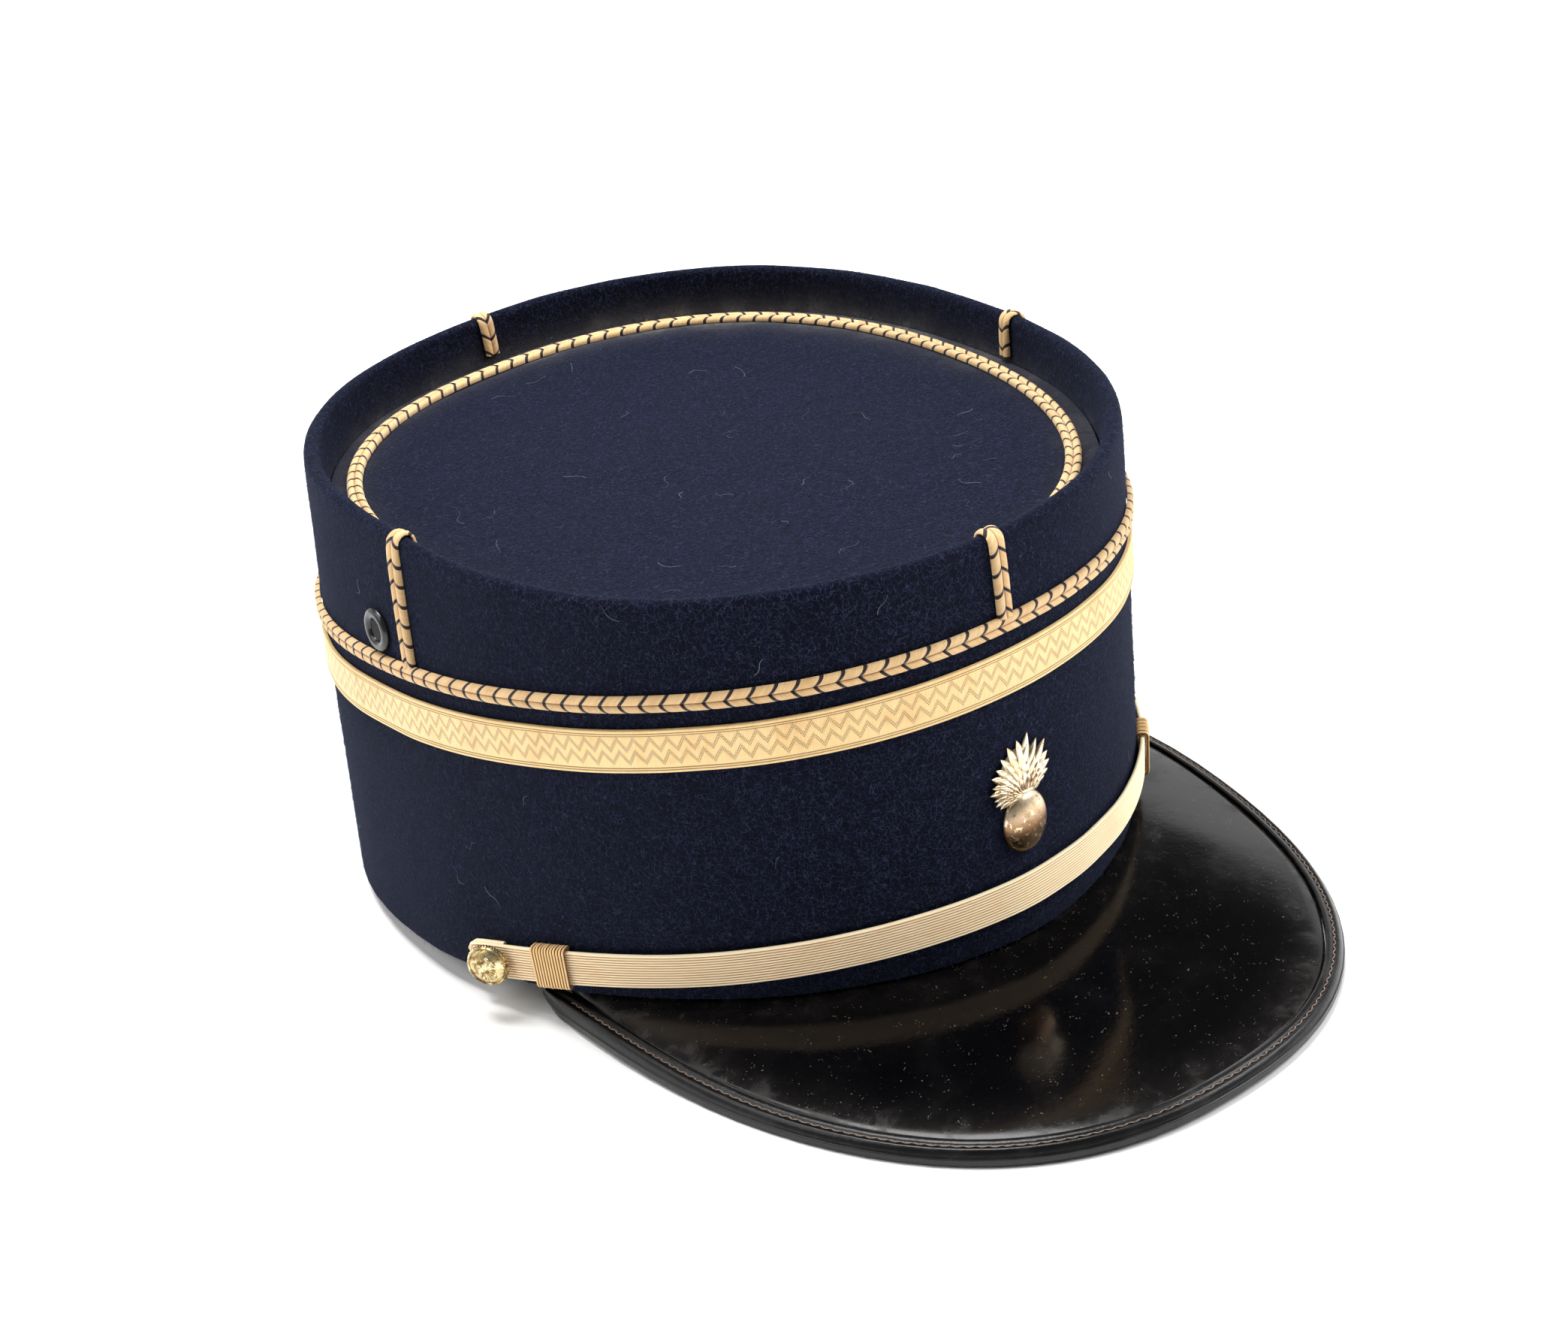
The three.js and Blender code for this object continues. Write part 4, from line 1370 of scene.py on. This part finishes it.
def patentLook():
    material, tree, place = newMaterial("patentLeather", Specular_IOR_Level=0.22)
    film = dustOn(tree, place, 60.0, 1500.0, 0.3, 0.2)
    scuff = ramp(tree, noiseOf(tree, place, 120.0, 6.0, 0.7, 1.5), 0.6, 0.74)
    settled = markOf(tree, "dust")
    grime = dustOn(tree, place, 150.0, 2200.0, 0.7, 0.5)
    settled = times(tree, settled, plus(tree, 0.35, grime["Mask"]), clamp=True)
    dull = calc(tree, "MAXIMUM", film["Mask"], times(tree, scuff, 0.5))
    shade = layered(tree, color(4, 4, 5),
                    (dull, 0.07, (84, 80, 78)),
                    (settled, 0.14, (84, 78, 74)),
                    (film["Speck"], 0.25, (150, 140, 128)))
    rough = calc(tree, "MAXIMUM", dull, times(tree, settled, 0.9))
    rough = ramp(tree, rough, 0.0, 1.0, 0.11, 0.5)
    grain = noiseOf(tree, place, 1100.0, 3.0)
    grain = calc(tree, "MULTIPLY_ADD", noiseOf(tree, place, 160.0, 2.0), 2.0, grain)
    return finishLook(material, shade, grain, 0.03 * mm, 0.35, rough)


patentLeather = patentLook()


def makePeak():
    guide = modelOf("peak_edging", "guide")
    edgingTree = treeOf(guide)
    bpy.data.objects.remove(guide)
    peak = modelOf("peak", "peak_patent")
    smoothed(peak, 3)
    with editing(peak, "EDGE", "DESELECT"):
        bpy.ops.mesh.edges_select_sharp(sharpness=radians(40))
        bpy.ops.transform.edge_crease(value=peakShape["rimCrease"])
    waveSurface(peak, "peakWaves", peakShape["waveSize"], peakShape["wave"])
    applyModifiers(peak)
    # dust lies along the edging and where the peak meets the wall
    marks = markOn(peak, "dust")
    for vertex in peak.data.vertices:
        fromEdging = edgingTree.find_nearest(vertex.co)[3]
        fromWall = feltTree.find_nearest(vertex.co)[3]
        level = exp(-(fromEdging / peakShape["edgeDust"]) ** 2)
        level += 0.8 * exp(-(fromWall / peakShape["wallDust"]) ** 2)
        marks[vertex.index].value = min(1.0, level)
    peak.data.transform(standing)
    tidySurface(peak, 0.001 * mm, 45)
    return finishPiece(peak, patentLeather, "patent_leather", "peak")


makePeak()
print("peak polished")

edgingShape = {"step": 1.0 * mm, "stitchPitch": 1.2 * mm, "stitchOut": 1.75 * mm, "stitchUp": -0.44 * mm,
               "sideWiden": 0.1, "endDeepen": 0.3, "endRound": 3 * mm, "halfWide": 75.8 * mm,
               "endAngle": 96.2, "tail": 9 * mm, "tailThin": 0.5}
# (out, up) from the top of the inner lip: groove, thin ridge, stitched valley, roll, outer face, turned under
edgingRows = [
    (0.0, -2.2), (0.0, -0.35), (0.06, -0.1), (0.22, 0.0), (0.6, -0.02), (1.0, -0.12), (1.25, -0.3),
    (1.45, -0.48), (1.75, -0.55), (2.05, -0.52), (2.25, -0.42), (2.5, -0.45), (2.8, -0.7), (3.1, -1.15),
    (3.3, -1.65), (3.42, -2.05), (3.52, -2.2), (3.61, -2.22), (3.66, -2.32), (3.65, -2.5), (3.62, -3.0),
    (3.6, -3.5), (3.48, -3.74), (3.2, -3.82), (2.95, -3.68), (2.85, -2.9), (2.4, -2.6), (1.2, -2.45),
    (0.0, -2.2)]


def edgingLook():
    material, tree, place = newMaterial("edgingLeather", Specular_IOR_Level=0.3)
    film = dustOn(tree, place, 90.0, 900.0, 0.6, 0.4)
    shade = layered(tree, color(8, 8, 9), (film["Mask"], 0.22, (78, 74, 74)))
    rough = ramp(tree, film["Mask"], 0.0, 1.0, 0.3, 0.6)
    grain = addNode(tree, "TexVoronoi", {"Vector": place, "Scale": 1300.0}).outputs["Distance"]
    grain = plus(tree, grain, noiseOf(tree, place, 500.0, 3.0))
    return finishLook(material, shade, grain, 0.05 * mm, 0.5, rough)


edgingLeather = edgingLook()


def edgingPath():
    edges = cutEdges("peak_edging")
    points = []
    for step in range(241):
        angle = (1 - step / 120) * edgingShape["endAngle"] + offSeam
        reach, height = sliceNode(edges, angle, peakShape["rootY"])
        spot = outwardAt(angle) * float(reach.min())
        points.append(Vector((spot.x, spot.y + peakShape["rootY"], float(height.max()))))
    return points


def makeEdging():
    points = edgingPath()
    section = [(up * mm, out * mm) for out, up in edgingRows]
    length = lengthOf(points, False)

    def fullerSides(along, up, out):
        # the roll is fuller along the sides and deepest at its ends
        at = points[min(len(points) - 1, int(along / length * len(points)))]
        side = min(1.0, abs(at.x) / edgingShape["halfWide"]) ** 2.31
        deeper = 1 + edgingShape["endDeepen"] * side ** 8
        fromEnd = min(along, length - along)
        share = max(0.0, 1 - fromEnd / edgingShape["tail"])
        thin = 1 - edgingShape["tailThin"] * share * share * (3 - 2 * share)
        rounding = min(1.0, (fromEnd + 0.1 * mm) / edgingShape["endRound"])
        rounding = sqrt(1 - (1 - rounding) ** 2)
        wider = 1 + edgingShape["sideWiden"] * side ** 3
        return up * deeper * thin * (0.4 + 0.6 * rounding), out * wider * thin * (0.15 + 0.85 * rounding)

    edging = straightStrip("peak_edging_roll", section, length, edgingShape["step"], fullerSides)
    capEnds(bentAlong(edging, points, None, False))
    tidySurface(edging, 0.01 * mm, 60)
    return finishPiece(edging, edgingLeather, "edging_leather", "peak_edging")


def stitchLook():
    material, tree, place = newMaterial("stitchThread", Roughness=0.8, Sheen_Weight=0.2)
    along, across = layOf(tree)
    twist = twistOf(tree, along, across, 0.8, 0.3)
    # painted highlight: the twist's thread crests are coloured lighter
    tone = layered(tree, color(70, 56, 48),
                   (noiseOf(tree, place, 300.0, 3.0), 1, (138, 114, 98)),
                   (twist["Height"], 0.3, (140, 122, 104)))
    return finishLook(material, tone, twist["Height"], 0.05 * mm, 0.6)


def makeStitches():
    points = edgingPath()
    length = lengthOf(points, False)
    pitch = edgingShape["stitchPitch"]
    tail = edgingShape["tail"]
    count = int((length - 2 * tail) / pitch / 2) - 1
    stitches = []
    for zag in (0, 1):
        start = tail + pitch * (0.8 + zag)
        place = Matrix.Translation((start, edgingShape["stitchOut"], edgingShape["stitchUp"]))
        slant = turned(21 if zag else -21, "Z") @ turned(90, "Y")
        stitch = ballAt(place @ slant, (0.14 * mm, 0.15 * mm, 0.66 * mm), 8, 6)
        for loop in layLayer(stitch).data:
            loop.uv = (loop.uv[1] * 1.6, loop.uv[0])
        stitches.append(stitch)
    row = joined(stitches, "peak_edging_stitches")
    repeat = row.modifiers.new("repeat", "ARRAY")
    repeat.count = count
    repeat.use_relative_offset = False
    repeat.use_constant_offset = True
    repeat.constant_offset_displace = (pitch * 2, 0, 0)
    applyModifiers(row)
    bentAlong(row, points, None, False)
    tidySurface(row, 0.001 * mm, 60)
    return finishPiece(row, stitchLook(), "edging_leather")


makeEdging()
makeStitches()
print("edging rolled and stitched")

napShape = {"wall": 46000, "top": 18000, "length": (0.5 * mm, 1.5 * mm), "width": 0.075 * mm, "seed": 7}


def napLook():
    material, tree, place = newMaterial(
        "napFibre", Roughness=0.9, Sheen_Weight=0.07, Sheen_Roughness=0.5,
        Sheen_Tint=(0.45, 0.52, 0.8, 1), Specular_IOR_Level=0.1)
    tone = blendColors(tree, noiseOf(tree, place, 900.0, 2.0), color(9, 12, 28), color(74, 84, 118))
    return finishLook(material, tone)


napFibre = napLook()


def bandCover():
    # the trimmings that lie on the felt, so that no fibre is set under them
    spots, faces = [], []
    for piece in bpy.data.objects:
        if piece.type == "MESH" and piece.get("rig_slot") in ("braid", "lace", "strap", "gilt", "black_paint"):
            start = len(spots)
            spots += [unstanding @ v.co for v in piece.data.vertices]
            faces += [[start + i for i in f.vertices] for f in piece.data.polygons]
    return BVHTree.FromPolygons(spots, faces)


cover = bandCover()


def makeNap(name, felted, count, wanted, flow, seed):
    # thin pointed fibres, each a closed three-sided spike, lying nearly flat on the felt
    rng = np.random.default_rng(seed)
    mesh = felted.data
    mesh.calc_loop_triangles()
    corners = np.array([[mesh.vertices[i].co[:] for i in tri.vertices] for tri in mesh.loop_triangles])
    cross = np.cross(corners[:, 1] - corners[:, 0], corners[:, 2] - corners[:, 0])
    size = np.linalg.norm(cross, axis=1)
    normals = cross / np.maximum(size, 1e-12)[:, None]
    middles = corners.mean(axis=1)
    size = size * np.array([wanted(Vector(m), Vector(n)) for m, n in zip(middles, normals)])
    chosen = rng.choice(len(size), size=int(count * 1.6), p=size / size.sum())
    a, b = rng.random(len(chosen)), rng.random(len(chosen))
    over = a + b > 1
    a[over], b[over] = 1 - a[over], 1 - b[over]
    tri = corners[chosen]
    roots = tri[:, 0] + a[:, None] * (tri[:, 1] - tri[:, 0]) + b[:, None] * (tri[:, 2] - tri[:, 0])
    shortest, longest = napShape["length"]
    spots, faces, kept = [], [], 0
    for root, normal in zip(roots, normals[chosen]):
        if kept >= count:
            break
        normal = Vector(normal)
        root = Vector(root)
        if cover.find_nearest(root + normal * 0.8 * mm, 1.15 * mm)[0] is not None:
            rng.random(4)
            continue
        swing = Vector(rng.normal(size=3))
        lay = flow + swing * 0.55
        lay = (lay - normal * lay.dot(normal)).normalized()
        lift = 0.12 + 0.75 * rng.random() ** 2
        long = shortest + (longest - shortest) * rng.random()
        direction = (lay + normal * lift).normalized()
        if (standing @ (root + direction * long)).z < napShape["width"]:
            continue
        side = direction.cross(normal).normalized()
        rise = side.cross(direction)
        half = napShape["width"] * (0.6 + 0.8 * rng.random()) / 2
        start = len(spots)
        root = root - normal * 0.03 * mm
        spots += [root + side * half, root - side * half, root + rise * half * 1.4, root + direction * long]
        faces += [(start, start + 2, start + 1), (start, start + 1, start + 3),
                  (start + 1, start + 2, start + 3), (start + 2, start, start + 3)]
        kept += 1
    fibres = bpy.data.meshes.new(name)
    fibres.from_pydata([s[:] for s in spots], [], faces)
    nap = placed(name, fibres)
    nap.data.transform(standing)
    print(name, kept, "fibres")
    return finishPiece(nap, napFibre, "felt")


def onOuterWall(middle, normal):
    # outside of the wall, over the rim and down to the sunken top, but not the head hollow
    outward = normal.dot(outwardAt(degrees(atan2(middle.x, -middle.y))))
    above = middle.z - topLevel(middle.y)
    return 1.0 if outward > 0.2 or (above > -1 * mm and normal.z > -0.3) else 0.0


def onUpperFace(_, normal):
    return 1.0 if normal.z > 0.5 else 0.0


makeNap("felt_nap_wall", feltWall, napShape["wall"], onOuterWall, Vector((0.15, 0, -1)), napShape["seed"])
makeNap("felt_nap_top", feltTop, napShape["top"], onUpperFace, Vector((0.5, -0.6, 0)), napShape["seed"] + 1)

lintShape = {"hairs": 70, "radius": 0.028 * mm, "length": (1.5 * mm, 6.5 * mm), "seed": 23}


def lintLook():
    material, tree, place = newMaterial("paleLint", Roughness=0.8, Sheen_Weight=0.2)
    pale = ramp(tree, noiseOf(tree, place, 140.0, 2.0), 0.4, 0.65)
    tone = blendColors(tree, pale, color(72, 80, 104), color(160, 164, 178))
    return finishLook(material, tone)


def strandOn(spot, normal, first, length, bends, radius):
    # a loose hair that wanders over the felt and lifts at one end
    lay = (first - normal * first.dot(normal)).normalized()
    turn = normal.cross(lay)
    points = []
    for step in range(9):
        share = step / 8
        sway = bends[0] * sin(share * pi) + bends[1] * sin(share * 2 * pi)
        lift = 0.12 * mm + bends[2] * share * length
        points.append(spot + lay * (share - 0.5) * length + turn * sway * length + normal * lift)
    return cordTube("strand", points, radius, False, 0)


def makeLint():
    rng = random.Random(lintShape["seed"])
    strands = []
    while len(strands) < lintShape["hairs"]:
        onTop = rng.random() < 0.3
        if onTop:
            x, y = rng.uniform(-0.058, 0.058), rng.uniform(-0.07, 0.07)
            hit, normal, _, _ = topAt(x, y)
        else:
            hit, normal = feltPoint(rng.uniform(-180, 180), rng.uniform(14, 92) * mm)
        length = rng.uniform(*lintShape["length"])
        bends = (rng.uniform(-0.25, 0.25), rng.uniform(-0.15, 0.15), rng.uniform(0.0, 0.12))
        first = Vector((rng.uniform(-1, 1), rng.uniform(-1, 1), rng.uniform(-1, 1)))
        if cover.find_nearest(hit, length * 0.6 + 1 * mm)[0] is not None:
            continue
        radius = lintShape["radius"] * rng.uniform(0.6, 1.1)
        strands.append(strandOn(hit, normal, first, length, bends, radius))
    lint = joined(strands, "felt_lint")
    lint.data.transform(standing)
    return finishPiece(lint, lintLook(), "felt")


makeLint()
print("nap raised and lint strewn")

for piece, node in ((feltWall, "crown_wall"), (feltTop, "crown_top")):
    piece.data.transform(standing)
    finishPiece(piece, felt, "felt", node)
